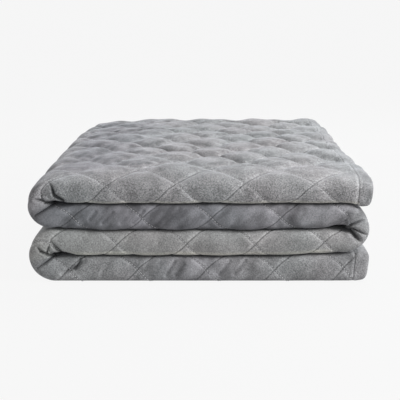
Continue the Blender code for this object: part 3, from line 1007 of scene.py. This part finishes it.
def flat_cloth(mesh):
    """The outer face on the flat cloth, cut to size, with lines along the hem's stitches."""
    places = np.array([p[2:] for p in mesh.places])
    along, across = drifted(places[:, 0], places[:, 1])
    bm = bmesh.new()
    vertices = [bm.verts.new((a, c, 0.0)) for a, c in zip(along, across)]
    for corners in mesh.triangles.values():
        bm.faces.new([vertices[n] for n in corners])
    for inset, keep in ((RIM, 1), (HEM, 0)):
        cut(bm, 0, inset, -keep)
        cut(bm, 0, LENGTH - inset, keep)
        cut(bm, 1, inset - HALF_WIDTH, -keep)
        cut(bm, 1, HALF_WIDTH - inset, keep)
    bmesh.ops.triangulate(bm, faces=bm.faces[:])
    for vertex in bm.verts:
        if vertex.is_boundary:
            snap_to_edge(vertex)
    bmesh.ops.remove_doubles(bm, verts=bm.verts[:], dist=SAME_POINT)
    return bm


bm = flat_cloth(seams)
print(f"{len(bm.faces)} triangles once the cloth is cut to size")

# %% [markdown]
# ## Turned edges
#
# A real free edge is turned under and sewn, so it is as round as a cord. The rim of the mesh is a strip
# that runs from the outer face round to the inner one in a half circle. The inner face is a coarse grid,
# because it only shows as a dark slit, and the two unlike edges are joined like the teeth of a zip.

# %% Round the rim
RIM_TURNS = 7  # strips of faces round the rim
NEAR = 1e-5  # a point this close to the edge is on it
LOW, HIGH, SIDE = RIM, LENGTH - RIM, HALF_WIDTH - RIM


def perimeter(along, across):
    """Distance round the inset edge, which puts the points of both faces' edges in one order."""
    if across < NEAR - SIDE:
        return along
    if along > HIGH - NEAR:
        return LENGTH + across + HALF_WIDTH
    if across > SIDE - NEAR:
        return 2 * LENGTH + 2 * HALF_WIDTH - along
    return 2 * LENGTH + 4 * HALF_WIDTH - (across + HALF_WIDTH)


def rim_places(along, across, turn):
    """Points on the rounded rim, from the outer face at turn 0 to the inner face at turn 1."""
    reach = RIM * math.sin(math.pi * turn)
    far_along = along + (1.0 * (along > HIGH - NEAR) - 1.0 * (along < LOW + NEAR)) * reach
    far_across = across + (1.0 * (across > SIDE - NEAR) - 1.0 * (across < NEAR - SIDE)) * reach
    outer = outer_face(far_along, far_across)
    inner = inner_face(far_along, far_across)
    return inner + (outer - inner) * (0.5 + 0.5 * math.cos(math.pi * turn))


def add_rim(bm, flat_place, ring, flat):
    """Adds the strips round the rim, and returns their last ring of points."""
    for turn in range(1, RIM_TURNS):
        made = [bm.verts.new(p) for p in rim_places(flat[:, 0], flat[:, 1], turn / RIM_TURNS)]
        for vertex, place in zip(made, flat):
            vertex[flat_place] = (*place, 0.0)
        for k in range(len(ring)):
            n = (k + 1) % len(ring)
            bm.faces.new((ring[k], ring[n], made[n], made[k]))
        ring = made
    return ring


print(f"{RIM_TURNS} strips round a rim of {2 * (LENGTH + 2 * HALF_WIDTH):.1f} m")

# %% Make the inner face
INNER_STEPS = {"fold": 12, "straight": 14, "leaf": 16}


def inner_lines():
    """Places along and across the cloth of the plain inner face's lines."""
    along = [RIM]
    for stage in STAGES:
        steps = INNER_STEPS["fold" if "side" in stage else "straight"]
        along.extend(np.linspace(stage["start"], stage["end"], steps, endpoint=False)[1:])
        along.append(stage["end"])
    along = [a for a in along if a < LENGTH - 2 * RIM] + [LENGTH - RIM]
    leaf = np.linspace(NOSE_ARC + 0.003, HALF_WIDTH - RIM, INNER_STEPS["leaf"])
    return along, [-a for a in leaf[::-1]] + [0.0] + list(leaf)


def add_inner_face(bm, flat_place):
    """Adds the inner face's grid, and returns the points of its edge with their distances round it."""
    along, across = inner_lines()
    grid = {}
    for i, place in enumerate(along):
        points = inner_face(np.full(len(across), place), np.array(across))
        for j, point in enumerate(points):
            grid[i, j] = bm.verts.new(point)
            grid[i, j][flat_place] = (place, across[j], 0.0)
    for i in range(len(along) - 1):
        for j in range(len(across) - 1):
            bm.faces.new((grid[i, j], grid[i, j + 1], grid[i + 1, j + 1], grid[i + 1, j]))
    return [
        (perimeter(along[i], across[j]), vertex)
        for (i, j), vertex in grid.items()
        if i in (0, len(along) - 1) or j in (0, len(across) - 1)
    ]


print("the inner face has {} by {} points".format(*(len(lines) for lines in inner_lines())))


# %% Close the blanket
def in_order(edge):
    """The (distance, vertex) pairs of a face's edge, sorted by distance."""
    return sorted(edge, key=lambda pair: pair[0])


def zip_up(bm, outer, inner):
    """Joins two closed edges with a strip of triangles, given (distance, vertex) lists in order."""
    i = j = 0
    while i < len(outer) or j < len(inner):
        a, b = outer[i % len(outer)][1], inner[j % len(inner)][1]
        next_outer = outer[i + 1][0] if i + 1 < len(outer) else math.inf
        next_inner = inner[j + 1][0] if j + 1 < len(inner) else math.inf
        if i < len(outer) and (next_outer <= next_inner or j >= len(inner)):
            i += 1
            bm.faces.new((a, outer[i % len(outer)][1], b))
        else:
            j += 1
            bm.faces.new((a, inner[j % len(inner)][1], b))


def close_blanket(bm):
    """Folds the outer face and adds the rim and the inner face. Every point keeps its flat place."""
    flat_place = bm.verts.layers.float_vector.new("flat_place")
    outer_points = list(bm.verts)
    flat = np.array([(v.co.x, v.co.y) for v in outer_points])
    edge = in_order((perimeter(*flat[n]), n) for n, v in enumerate(outer_points) if v.is_boundary)
    for vertex, place in zip(outer_points, outer_face(flat[:, 0], flat[:, 1])):
        vertex[flat_place] = vertex.co
        vertex.co = place
    order = [n for _, n in edge]
    ring = add_rim(bm, flat_place, [outer_points[n] for n in order], flat[order])
    inner_edge = in_order(add_inner_face(bm, flat_place))
    zip_up(bm, [(distance, v) for (distance, _), v in zip(edge, ring)], inner_edge)
    bmesh.ops.recalc_face_normals(bm, faces=bm.faces[:])


close_blanket(bm)
sides = [v.co.x for v in bm.verts]
SHIFT = np.array([(solid_low.x + solid_high.x - min(sides) - max(sides)) / 2, solid_low.y, 0.0])
bmesh.ops.translate(bm, verts=bm.verts[:], vec=Vector(SHIFT))
print(f"closed: {all(e.is_manifold for e in bm.edges)}, moved by {[round(s * 1000, 2) for s in SHIFT]} mm")

# %% [markdown]
# ## The blanket as an object
#
# The mesh becomes the piece `quilted_plush`. Each point keeps two sets of facts as attributes, so that
# the material can follow the cloth. `seam_lines` says where it lies between the seams and how far from
# the edge. `pile` holds the nap, the painted shade of the creases and of the floor's contact, and how
# rough the pile is. The lay of the pile, or nap, runs along the whole cloth, so it points left in one
# section and right in the next. The material paints the look that the nap gets from the light into the
# colour, so the sections are painted lighter and darker by turns. The nap values also paint shade on
# the top and light on the lower lips of the front.

# %% Name the lay of the pile
# the nap at both ends of each section, from the top, as the cloth runs; it sets the painted shade
NAP_AND_SHADE = (-0.88, -0.70, 1.60, 0.40, -1.05, -1.1, -0.50, -0.45)
FOLD_NAP_AND_SHADE = (0.1, -0.98, -1.15)  # and on each side fold
# the nap of the hems, which sets their painted shade
HEM_NAP_AND_SHADE = -0.55
TOP_PAINTED_SHADE = (0.20, 1.40)  # painted shade that the top adds through the nap, all over and towards the left
LIP_PAINTED_LIGHT = -0.75  # painted light that the lower lips of the front add through the nap
LIP = 0.04  # over this length the lips run out towards a fold
# patches on the front where the nap, and so the painted shade, changes: the section,
# the place and half width in metres, the change of nap
NAP_SHADE_PATCHES = ((3, -0.005, 0.055, 0.85), (3, -0.150, 0.050, -0.50), (3, 0.130, 0.050, -0.45))
CREASE_SHADE_DEPTH = 0.009  # a crease this deep gets the darkest painted shade
FLOOR_CONTACT_SHADE = (1.8, 0.0014)  # the painted contact shadow along the floor reaches about 2.5 mm high
SMOOTH_PILE, ROUGH_PILE = 0.45, 1.0  # where the nap is 1 and where it is -1
SECTION_ROUGHNESS = (1.35, 1.0, 0.78, 1.0)  # from the top


def pile_facts_and_painted_shade(along, across, points):
    """Three facts for each point: the nap as painted light and shade, painted crease and floor shade,
    roughness. the nap, how far a crease presses the pile, and how rough it is.
    """
    middles = [(fold["start"] + fold["end"]) / 2 for fold in FOLDS]
    places = np.array(SECTION_ENDS + middles)
    order = np.argsort(places)
    nap = np.interp(along, places[order], np.array(NAP_AND_SHADE + FOLD_NAP_AND_SHADE)[order])
    # patches where the nap, and so the painted shade, is changed on the front
    for section, x, width, change in NAP_SHADE_PATCHES:
        stage = STRAIGHTS[section]
        nap += change * bell(points[:, 0], x, width) * ((along > stage["start"]) & (along < stage["end"]))
    # painted light: the lower lips of the top and the third section are made lighter through the nap
    third = STRAIGHTS[2]
    lips = rise(TOP_END - along, 0, LIP)
    lips += rise(third["end"] - along, 0, LIP) * rise(along, third["start"], LIP)
    nap += LIP_PAINTED_LIGHT * rise(-across, 0.008, 0.008) * lips
    # painted shade: the top is made darker all over and more towards the left, away from the key light
    nap += on_top(along, across) * (TOP_PAINTED_SHADE[0] + TOP_PAINTED_SHADE[1] * rise(-points[:, 0], 0.02, 0.14))
    hemmed = rise(HEM - 0.001 - edge_distance(along, across), 0, 0.003)
    nap += hemmed * (HEM_NAP_AND_SHADE - nap)
    # painted shade: darker pile in the creases, and a painted contact shadow along the floor
    pressed = np.clip(crease_depth(points) / CREASE_SHADE_DEPTH, 0, 1)
    pressed = np.maximum(pressed, np.clip(FLOOR_CONTACT_SHADE[0] - points[:, 2] / FLOOR_CONTACT_SHADE[1], 0, 1))
    roughness = np.interp(nap, (-1.0, 1.0), (ROUGH_PILE, SMOOTH_PILE))
    roughness *= np.interp(along, SECTION_ENDS, np.repeat(SECTION_ROUGHNESS, 2))
    return np.column_stack([nap, pressed, roughness])


print("the nap runs from", min(NAP_AND_SHADE), "to", max(NAP_AND_SHADE))

# %% Make the object and its attributes
mesh = bpy.data.meshes.new("quilted_plush")
bm.to_mesh(mesh)
bm.free()
mesh.shade_smooth()
blanket = add_object("quilted_plush", mesh)

flat_along, flat_across = read_vectors(mesh.attributes["flat_place"].data, "vector").T[:2]
i, j = in_diamonds(flat_along, flat_across)
# the third value is the distance to the edge, and 1 m more where the right fold hides its seams
from_edge = edge_distance(flat_along, flat_across) + in_right_fold(flat_along)
unshifted = read_vectors(mesh.vertices, "co") - SHIFT
facts = {
    "seam_lines": np.column_stack([i + j, i - j, from_edge]),
    "pile": pile_facts_and_painted_shade(flat_along, flat_across, unshifted),
}
for name, values in facts.items():
    attribute = mesh.attributes.new(name, "FLOAT_VECTOR", "POINT")
    attribute.data.foreach_set("vector", values.astype(np.float32).ravel())
print(f"{len(mesh.vertices)} points, {sum(len(p.vertices) - 2 for p in mesh.polygons)} triangles")

# %% [markdown]
# ## Stitches
#
# The thread is polyester, lighter than the pile, in stitches of about 4 mm that dip into the seam at both
# ends. A bump map could only hint at them. Each one here is a small bent bead of mesh that lies in the
# bottom of its valley, with its ends sunk into the cloth. One of the two seams that cross was sewn with
# a tighter thread, and so was the hem, so their stitches lie under the pile. Only the seams that show
# get stitches.

# %% Name the stitch sizes
STITCH_PITCH = 0.0042
STITCH_LENGTH = 0.0034
THREAD = 0.00042  # half of the thread's thickness
STITCH_SIDES = 5
# the rings of a stitch: share of its length, lift over the cloth in metres, share of the full thickness
STITCH_RINGS = (
    (0.0, -0.0004, 0.35),
    (0.25, 0.0003, 0.9),
    (0.5, 0.0005, 1.0),
    (0.75, 0.0003, 0.9),
    (1.0, -0.0004, 0.35),
)
LOOSE, TIGHT = -0.0001, 0.0008  # how far each thread lies under the pile
TRACK_STEP = 0.0005
SHORTEST_TRACK = 12  # steps
OVER_FLOOR = 0.0003  # no thread comes closer to the floor
SEAM_NUMBERS = range(-30, 40)  # more than cross the quilt


def shows(along, across):
    """Where the cloth is on the outside of the stack and its seams aren't pressed out."""
    shown = (np.abs(across) < NOSE_ARC + 0.002) | ((across > 0) & (along < TOP_END))
    for fold in FOLDS:
        shown |= (across * fold["side"] < 0) & (along > fold["start"]) & (along < fold["end"])
    return shown & ~on_floor(along, across) & (in_right_fold(along) < 0.5)


print(f"{STITCH_LENGTH * 1000:.1f} mm stitches, {STITCH_PITCH * 1000:.1f} mm apart")


# %% Mark the lines of stitches
def seam_tracks():
    """Every line of stitches: close places on the flat cloth, and how deep its thread lies."""
    tracks = []
    along = np.arange(0.0, LENGTH, TRACK_STEP)
    i = (along - FIRST_CROSSING) / DIAMOND_ALONG
    for slope, sunk in ((1, TIGHT), (-1, LOOSE)):
        for number in SEAM_NUMBERS:
            across = drift(along) + (number - i) * slope * DIAMOND_ACROSS
            inside = edge_distance(along, across) > HEM + 0.001
            if inside.any():
                tracks.append((along[inside], across[inside], sunk))
    side = HALF_WIDTH - HEM
    run = np.arange(HEM, LENGTH - HEM, TRACK_STEP)
    tracks.append((run, np.full(len(run), side), TIGHT))
    run = np.arange(-side, side, TRACK_STEP)
    for end in (HEM, LENGTH - HEM):
        tracks.append((np.full(len(run), end), run, TIGHT))
    return tracks


print(f"{len(seam_tracks())} lines of stitches")


# %% Shape the stitches
def unit(vectors):
    """The vectors, made 1 long."""
    return vectors / (np.linalg.norm(vectors, axis=1, keepdims=True) + 1e-12)


def outer_normals(along, across):
    """Outward normals of the outer face, from places a little to each side."""
    step = 0.0012
    one = outer_face(along + step, across) - outer_face(along - step, across)
    two = outer_face(along, across + step) - outer_face(along, across - step)
    return unit(np.cross(two, one))


def stitch_points(along, across, sunk):
    """The points of each stitch along one track, as an array with a row for a stitch."""
    line, normals = outer_face(along, across), outer_normals(along, across)
    gone = np.concatenate([[0], np.cumsum(np.linalg.norm(np.diff(line, axis=0), axis=1))])
    starts = np.arange(0, gone[-1] - STITCH_LENGTH, STITCH_PITCH)

    def at(share, values):
        places = starts + STITCH_LENGTH * share
        return np.column_stack([np.interp(places, gone, values[:, k]) for k in range(3)])

    up = at(0.5, normals)
    forward = unit(at(1.0, line) - at(0.0, line))
    side = unit(np.cross(forward, up))
    points = []
    for share, lift, size in STITCH_RINGS:
        middle = at(share, line) + up * (lift - sunk)
        for k in range(STITCH_SIDES):
            angle = 2 * math.pi * k / STITCH_SIDES
            points.append(middle + (math.cos(angle) * side + math.sin(angle) * up) * THREAD * size)
    made = np.stack(points, axis=1)
    made[:, :, 2] = np.maximum(made[:, :, 2], OVER_FLOOR)
    return made


def stitch_faces():
    """The faces of one stitch: its sides and its two ends."""
    last = (len(STITCH_RINGS) - 1) * STITCH_SIDES
    faces = []
    for ring in range(0, last, STITCH_SIDES):
        for k in range(STITCH_SIDES):
            a, b = ring + k, ring + (k + 1) % STITCH_SIDES
            faces.append((a, b, b + STITCH_SIDES, a + STITCH_SIDES))
    return faces + [tuple(reversed(range(STITCH_SIDES))), tuple(range(last, last + STITCH_SIDES))]


print(f"a stitch has {len(STITCH_RINGS) * STITCH_SIDES} points and {len(stitch_faces())} faces")


# %% Sew them
def sew(tracks):
    """All stitches that show, as one array with a row for a stitch."""
    sewn = []
    for along, across, sunk in tracks:
        shown = shows(along, across)
        breaks = np.flatnonzero(np.diff(shown.astype(int))) + 1
        for part in np.split(np.arange(len(along)), breaks):
            if len(part) >= SHORTEST_TRACK and shown[part[0]]:
                sewn.append(stitch_points(along[part], across[part], sunk))
    return np.concatenate(sewn)


stitches = sew(seam_tracks()) + SHIFT
one_stitch = np.arange(len(stitches)) * stitches.shape[1]
thread_faces = [tuple(int(first) + k for k in face) for first in one_stitch for face in stitch_faces()]
thread_mesh = bpy.data.meshes.new("quilting_thread")
thread_mesh.from_pydata(stitches.reshape(-1, 3).tolist(), [], thread_faces)
thread_mesh.shade_smooth()
thread = add_object("quilting_thread", thread_mesh)
print(f"{len(stitches)} stitches, {sum(len(f) - 2 for f in thread_faces)} triangles")

# %% [markdown]
# ## The plush
#
# Short plush has no gloss. Its pile scatters light, glows a little where it is seen edge on, and keeps
# every stroke of a hand as a lighter or darker patch. An image of plush could be laid over the mesh, but
# it would repeat and blur. So the material has layers of noise, from broad patches down to single tufts:
# painted lighter and darker shade for both lays of the nap, strokes, slanting sweeps where the pile is
# dark, and bump for the tufts. The seams come from the mesh. The material paints shade in the seam
# itself, partly for its darker pile, a painted highlight in a band beside it, and painted shade in the
# creases and along the floor.


# %% Helpers for node trees
def fill(made, **inputs):
    """Fills a node. A name of capitals sets a property, and others set or link the input of that name."""
    for name, value in inputs.items():
        if name.isupper() and len(name) > 1:
            setattr(made, name.lower(), value)
            continue
        socket = made.inputs[int(name[1:])] if name[0] == "_" else made.inputs[name.replace("_", " ")]
        if isinstance(value, bpy.types.NodeSocket):
            socket.id_data.links.new(value, socket)
        else:
            socket.default_value = value
    return made


def node(tree, kind, **inputs):
    """Adds a node and fills it."""
    return fill(tree.nodes.new(kind), **inputs)


print("nodes are added and filled by name")


# %% Short ways to common nodes
def tree_of(*values):
    """The node tree of the first value that is a socket."""
    return next(value.id_data for value in values if isinstance(value, bpy.types.NodeSocket))


def maths(operation, *values):
    """A Math node's result."""
    inputs = {f"_{n}": value for n, value in enumerate(values)}
    return node(tree_of(*values), "ShaderNodeMath", OPERATION=operation, **inputs).outputs[0]


def times(first, *others):
    """Multiplies values and sockets."""
    for other in others:
        first = maths("MULTIPLY", first, other)
    return first


def plus(first, *others):
    """Adds values and sockets."""
    for other in others:
        first = maths("ADD", first, other)
    return first


def ranged(value, low, high, to_low, to_high):
    """Maps a value from one range to another, without leaving it."""
    inputs = {f"_{n}": v for n, v in enumerate((value, low, high, to_low, to_high))}
    return node(tree_of(value), "ShaderNodeMapRange", **inputs).outputs[0]


def mixed(share, first, second, blend="MIX"):
    """Mixes two colours."""
    tree = tree_of(share, first, second)
    made = node(tree, "ShaderNodeMix", DATA_TYPE="RGBA", BLEND_TYPE=blend, _0=share, _6=first, _7=second)
    return made.outputs[2]


def noise(place, scale, detail=3.0, roughness=0.5):
    """Noise at a number of waves to the metre."""
    inputs = {"Vector": place, "Scale": scale, "Detail": detail, "Roughness": roughness}
    return node(tree_of(place), "ShaderNodeTexNoise", **inputs).outputs["Fac"]


print("and get their tree from the sockets they use")


# %% Places and facts for a material
def turned(place, **inputs):
    """A place in space, turned, moved or scaled."""
    return node(tree_of(place), "ShaderNodeMapping", Vector=place, **inputs).outputs[0]


def start_material(name):
    """A new material with its shader, and the place on the object."""
    material = bpy.data.materials.new(name)
    material.use_nodes = True
    tree = material.node_tree
    return material, tree.nodes["Principled BSDF"], node(tree, "ShaderNodeTexCoord").outputs["Object"]


def three_facts(place, name):
    """The three numbers of one of the mesh's attributes."""
    tree = tree_of(place)
    vector = node(tree, "ShaderNodeAttribute", ATTRIBUTE_NAME=name).outputs["Vector"]
    return node(tree, "ShaderNodeSeparateXYZ", Vector=vector).outputs


print("materials start from a place on the object")


# %% Mix the colours of the pile
# painted light and shade: the grey of pile whose nap catches the light and of pile whose nap lies against
# it
PILE_PAINTED_LIT = (0.164, 0.164, 0.163, 1.0)
PILE_PAINTED_SHADED = (0.104, 0.104, 0.110, 1.0)
PILE_PAINTED_PALEST = (0.300, 0.297, 0.266, 1.0)  # painted light: the palest grey, where the nap is lowest, as on the lower lips
COOL, WARM = (0.96, 1.0, 1.02, 1.0), (1.01, 0.99, 1.015, 1.0)  # tints of the broad patches
GRAIN = (0.61, 0.43, 0.77)  # turns the noise, so that its own grid never shows
SWEEP_LEAN = math.radians(-40)
SEAM_SPACING = 0.0667  # metres from one seam to the next, which is 1 on the seam lines


def pile_grey_and_painted_shade(place, nap):
    """The grey of the pile in broad patches, with painted light and shade by the lay of its nap."""
    colour = mixed(ranged(nap, -1.0, 1.0, 0.0, 1.0), PILE_PAINTED_LIT, PILE_PAINTED_SHADED)
    colour = mixed(ranged(nap, -1.6, -1.0, 1.0, 0.0), colour, PILE_PAINTED_PALEST)
    tint = mixed(ranged(noise(place, 9.0, 2.0), 0.35, 0.65, 0.0, 1.0), COOL, WARM)
    return mixed(1.0, colour, tint, "MULTIPLY")


def sweeps(place, nap):
    """Slanting lighter and darker sweeps of a hand, where the pile lies against the light."""
    place = turned(place, Location=(0.07, 0.0, 0.0), Rotation=(0.0, SWEEP_LEAN, 0.0))
    swept = noise(turned(place, Scale=(1.0, 1.0, 0.35)), 74.0, 2.0, 0.45)
    return times(ranged(swept, 0.36, 0.64, -0.30, 0.30), ranged(nap, -0.85, -0.3, 0.0, 1.0))


def seam_shade_and_highlight(seam_lines, pressed):
    """Painted shade, partly darker pile, in seams, hem and creases, and a painted highlight beside a seam.
    """
    from_edge = seam_lines[2]
    hidden = maths("SUBTRACT", 1.0, maths("GREATER_THAN", from_edge, HEM))
    hidden = plus(hidden, ranged(from_edge, 0.75, 1.15, 0.0, 0.5))
    near = []
    for line in seam_lines[:2]:
        spot = maths("SUBTRACT", maths("FRACT", plus(line, 0.5)), 0.5)
        near.append(maths("MAXIMUM", maths("ABSOLUTE", spot), hidden))
    hem = times(maths("ABSOLUTE", maths("SUBTRACT", from_edge, HEM)), 1 / SEAM_SPACING)
    darker_seam_lines = maths("MINIMUM", near[0], hem)
    # the seams and the hem are darker, partly for their pile and partly as painted shade, one slope of
    # seams more
    painted_shading = times(ranged(darker_seam_lines, 0.001, 0.014, 0.42, 1.0), ranged(near[1], 0.002, 0.014, 0.66, 1.0))
    seam = maths("MINIMUM", darker_seam_lines, near[1])
    # painted highlight: a lighter band beside each seam, where the edges of the puffs catch the light
    painted_highlight = times(ranged(seam, 0.014, 0.030, 0.0, 0.27), ranged(seam, 0.030, 0.100, 1.0, 0.0))
    # painted shade in the creases and a painted contact shadow along the floor
    return times(plus(painted_shading, painted_highlight), ranged(pressed, 0.15, 0.9, 1.0, 0.45))


print("plush from", PILE_PAINTED_LIT[0], "to", PILE_PAINTED_SHADED[0], "of white")


# %% Mix the plush
def plush_material():
    """Grey plush, strokes and tufts, with painted shade by nap, seams and creases and painted highlights by
    seams.
    """
    material, shader, place = start_material("grey_plush")
    # `pressed` carries the painted shade of the creases and of the floor's contact
    nap, pressed, rough_pile = three_facts(place, "pile")
    grained = turned(place, Rotation=GRAIN)
    brushed = noise(grained, 40.0, 4.0, 0.55)
    tufts = noise(grained, 560.0, 3.0, 0.75)
    hairs = noise(grained, 1300.0, 2.0, 0.5)

    stroke = plus(ranged(brushed, 0.33, 0.67, 0.80, 1.20), sweeps(place, nap))
    grain = plus(times(ranged(tufts, 0.32, 0.68, -0.55, 0.55), rough_pile), 1.0)
    fine = ranged(hairs, 0.25, 0.75, 0.88, 1.12)
    painted_shading = seam_shade_and_highlight(three_facts(place, "seam_lines"), pressed)
    shade = times(stroke, grain, fine, painted_shading)
    shade = node(tree_of(shade), "ShaderNodeCombineXYZ", X=shade, Y=shade, Z=shade).outputs[0]

    height = plus(times(tufts, 0.7), times(hairs, 0.3), times(brushed, 0.8))
    bump = node(tree_of(place), "ShaderNodeBump", Strength=0.55, Distance=0.0012, Height=height)
    fill(
        shader,
        Base_Color=mixed(1.0, pile_grey_and_painted_shade(grained, nap), shade, "MULTIPLY"),
        Normal=bump.outputs[0],
        Roughness=ranged(tufts, 0.3, 0.7, 0.82, 0.98),
        Sheen_Weight=0.26,
        Sheen_Roughness=0.32,
        Sheen_Tint=(0.9, 0.93, 1.0, 1.0),
        Specular_IOR_Level=0.2,
    )
    return material


mesh.materials.append(plush_material())
print(f"plush mixed with {len(mesh.materials[0].node_tree.nodes)} nodes")

# %% [markdown]
# ## The thread
#
# Sewing thread is smoother and tighter than pile, so it shines a little more. It is twisted from two
# yarns, and it wears to slightly different greys. A twist could be modelled, but at less than a
# millimetre across it is only ever seen as a fine roughness, so a very fine bump is enough.


# %% Mix the thread
def thread_material():
    """Light grey polyester thread with its twist."""
    material, shader, place = start_material("polyester_thread")
    worn = ranged(noise(place, 60.0, 2.0), 0.3, 0.7, 0.0, 1.0)
    twist = noise(place, 2200.0, 1.0)
    bump = node(tree_of(place), "ShaderNodeBump", Strength=0.5, Distance=0.0002, Height=twist)
    fill(
        shader,
        Base_Color=mixed(worn, (0.25, 0.25, 0.26, 1.0), (0.37, 0.37, 0.38, 1.0)),
        Normal=bump.outputs[0],
        Roughness=ranged(twist, 0.2, 0.8, 0.45, 0.65),
        Sheen_Weight=0.2,
    )
    return material


thread_mesh.materials.append(thread_material())
print(f"thread mixed with {len(thread_mesh.materials[0].node_tree.nodes)} nodes")

# %% [markdown]
# ## Join it to the part
#
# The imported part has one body, and everything rides on it. The quilted mesh stands for the plain solid.

for piece in (blanket, thread):
    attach(piece, "root")
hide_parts("blanket")
print("the quilt stands for the solid, and the thread goes with it")

# %% [markdown]
# ## Floor, light and camera
#
# A pale floor and a pale world melt into one even background. The key light is large and soft, up on the
# right, so each puff has a lighter right side. A second light, high behind, shows the roundness of the
# puffs on top, and the rest of the light comes from all round.

# %% Floor and world
FLOOR_SIZE = 20.0  # metres from its middle to a side
FLOOR_DROP = 0.0004  # just under the cloth, so that the two never share a face
WORLD_STRENGTH = 0.92
FLOOR_GLOW = 0.905


def floor_material():
    """A pale floor that gives off most of its own brightness, so that shadows on it stay faint."""
    material, shader, place = start_material("pale_floor")
    fill(
        shader,
        Base_Color=mixed(noise(place, 3.0, 2.0), (0.014, 0.014, 0.014, 1.0), (0.016, 0.016, 0.016, 1.0)),
        Roughness=0.9,
        Specular_IOR_Level=0.0,
        Emission_Color=(1.0, 1.0, 1.0, 1.0),
        Emission_Strength=FLOOR_GLOW,
    )
    return material


floor_corners = [(x * FLOOR_SIZE, y * FLOOR_SIZE, 0) for x, y in ((-1, -1), (1, -1), (1, 1), (-1, 1))]
floor_mesh = bpy.data.meshes.new("floor")
floor_mesh.from_pydata(floor_corners, [], [(0, 1, 2, 3)])
floor_mesh.materials.append(floor_material())
floor = add_object("floor", floor_mesh)
floor.location.z = -FLOOR_DROP

world = bpy.data.worlds.new("studio")
world.use_nodes = True
fill(world.node_tree.nodes["Background"], Color=(1.0, 1.0, 1.0, 1.0), Strength=WORLD_STRENGTH)
bpy.context.scene.world = world
print(f"floor {2 * FLOOR_SIZE:.0f} m wide")

# %% Lights
AIM = Vector((0.0, 0.0, 0.08))


def area_light(name, place, size, power):
    """A square soft light that looks at the blanket."""
    data = bpy.data.lights.new(name, "AREA")
    data.size = size
    data.energy = power
    light = add_object(name, data)
    light.location = place
    light.rotation_euler = (AIM - Vector(place)).to_track_quat("-Z", "Y").to_euler()


area_light("key", (1.05, -0.70, 0.70), 0.5, 24)
area_light("back", (0.70, 0.75, 1.10), 0.9, 20.5)
print("two soft lights")

# %% Camera
LOOK_DOWN = 12.58  # degrees
camera_data = bpy.data.cameras.new("camera")
camera_data.lens = 86.85
camera_data.sensor_width = 36.0
camera = add_object("camera", camera_data)
camera.location = (EYE[0] + SHIFT[0], EYE[1] + SHIFT[1], EYE[2])
camera.rotation_euler = (math.radians(90 - LOOK_DOWN), 0.0, 0.0)
bpy.context.scene.camera = camera
bpy.context.scene.view_settings.view_transform = "Standard"
print("camera", round(-camera.location.y, 2), "m in front of the middle")
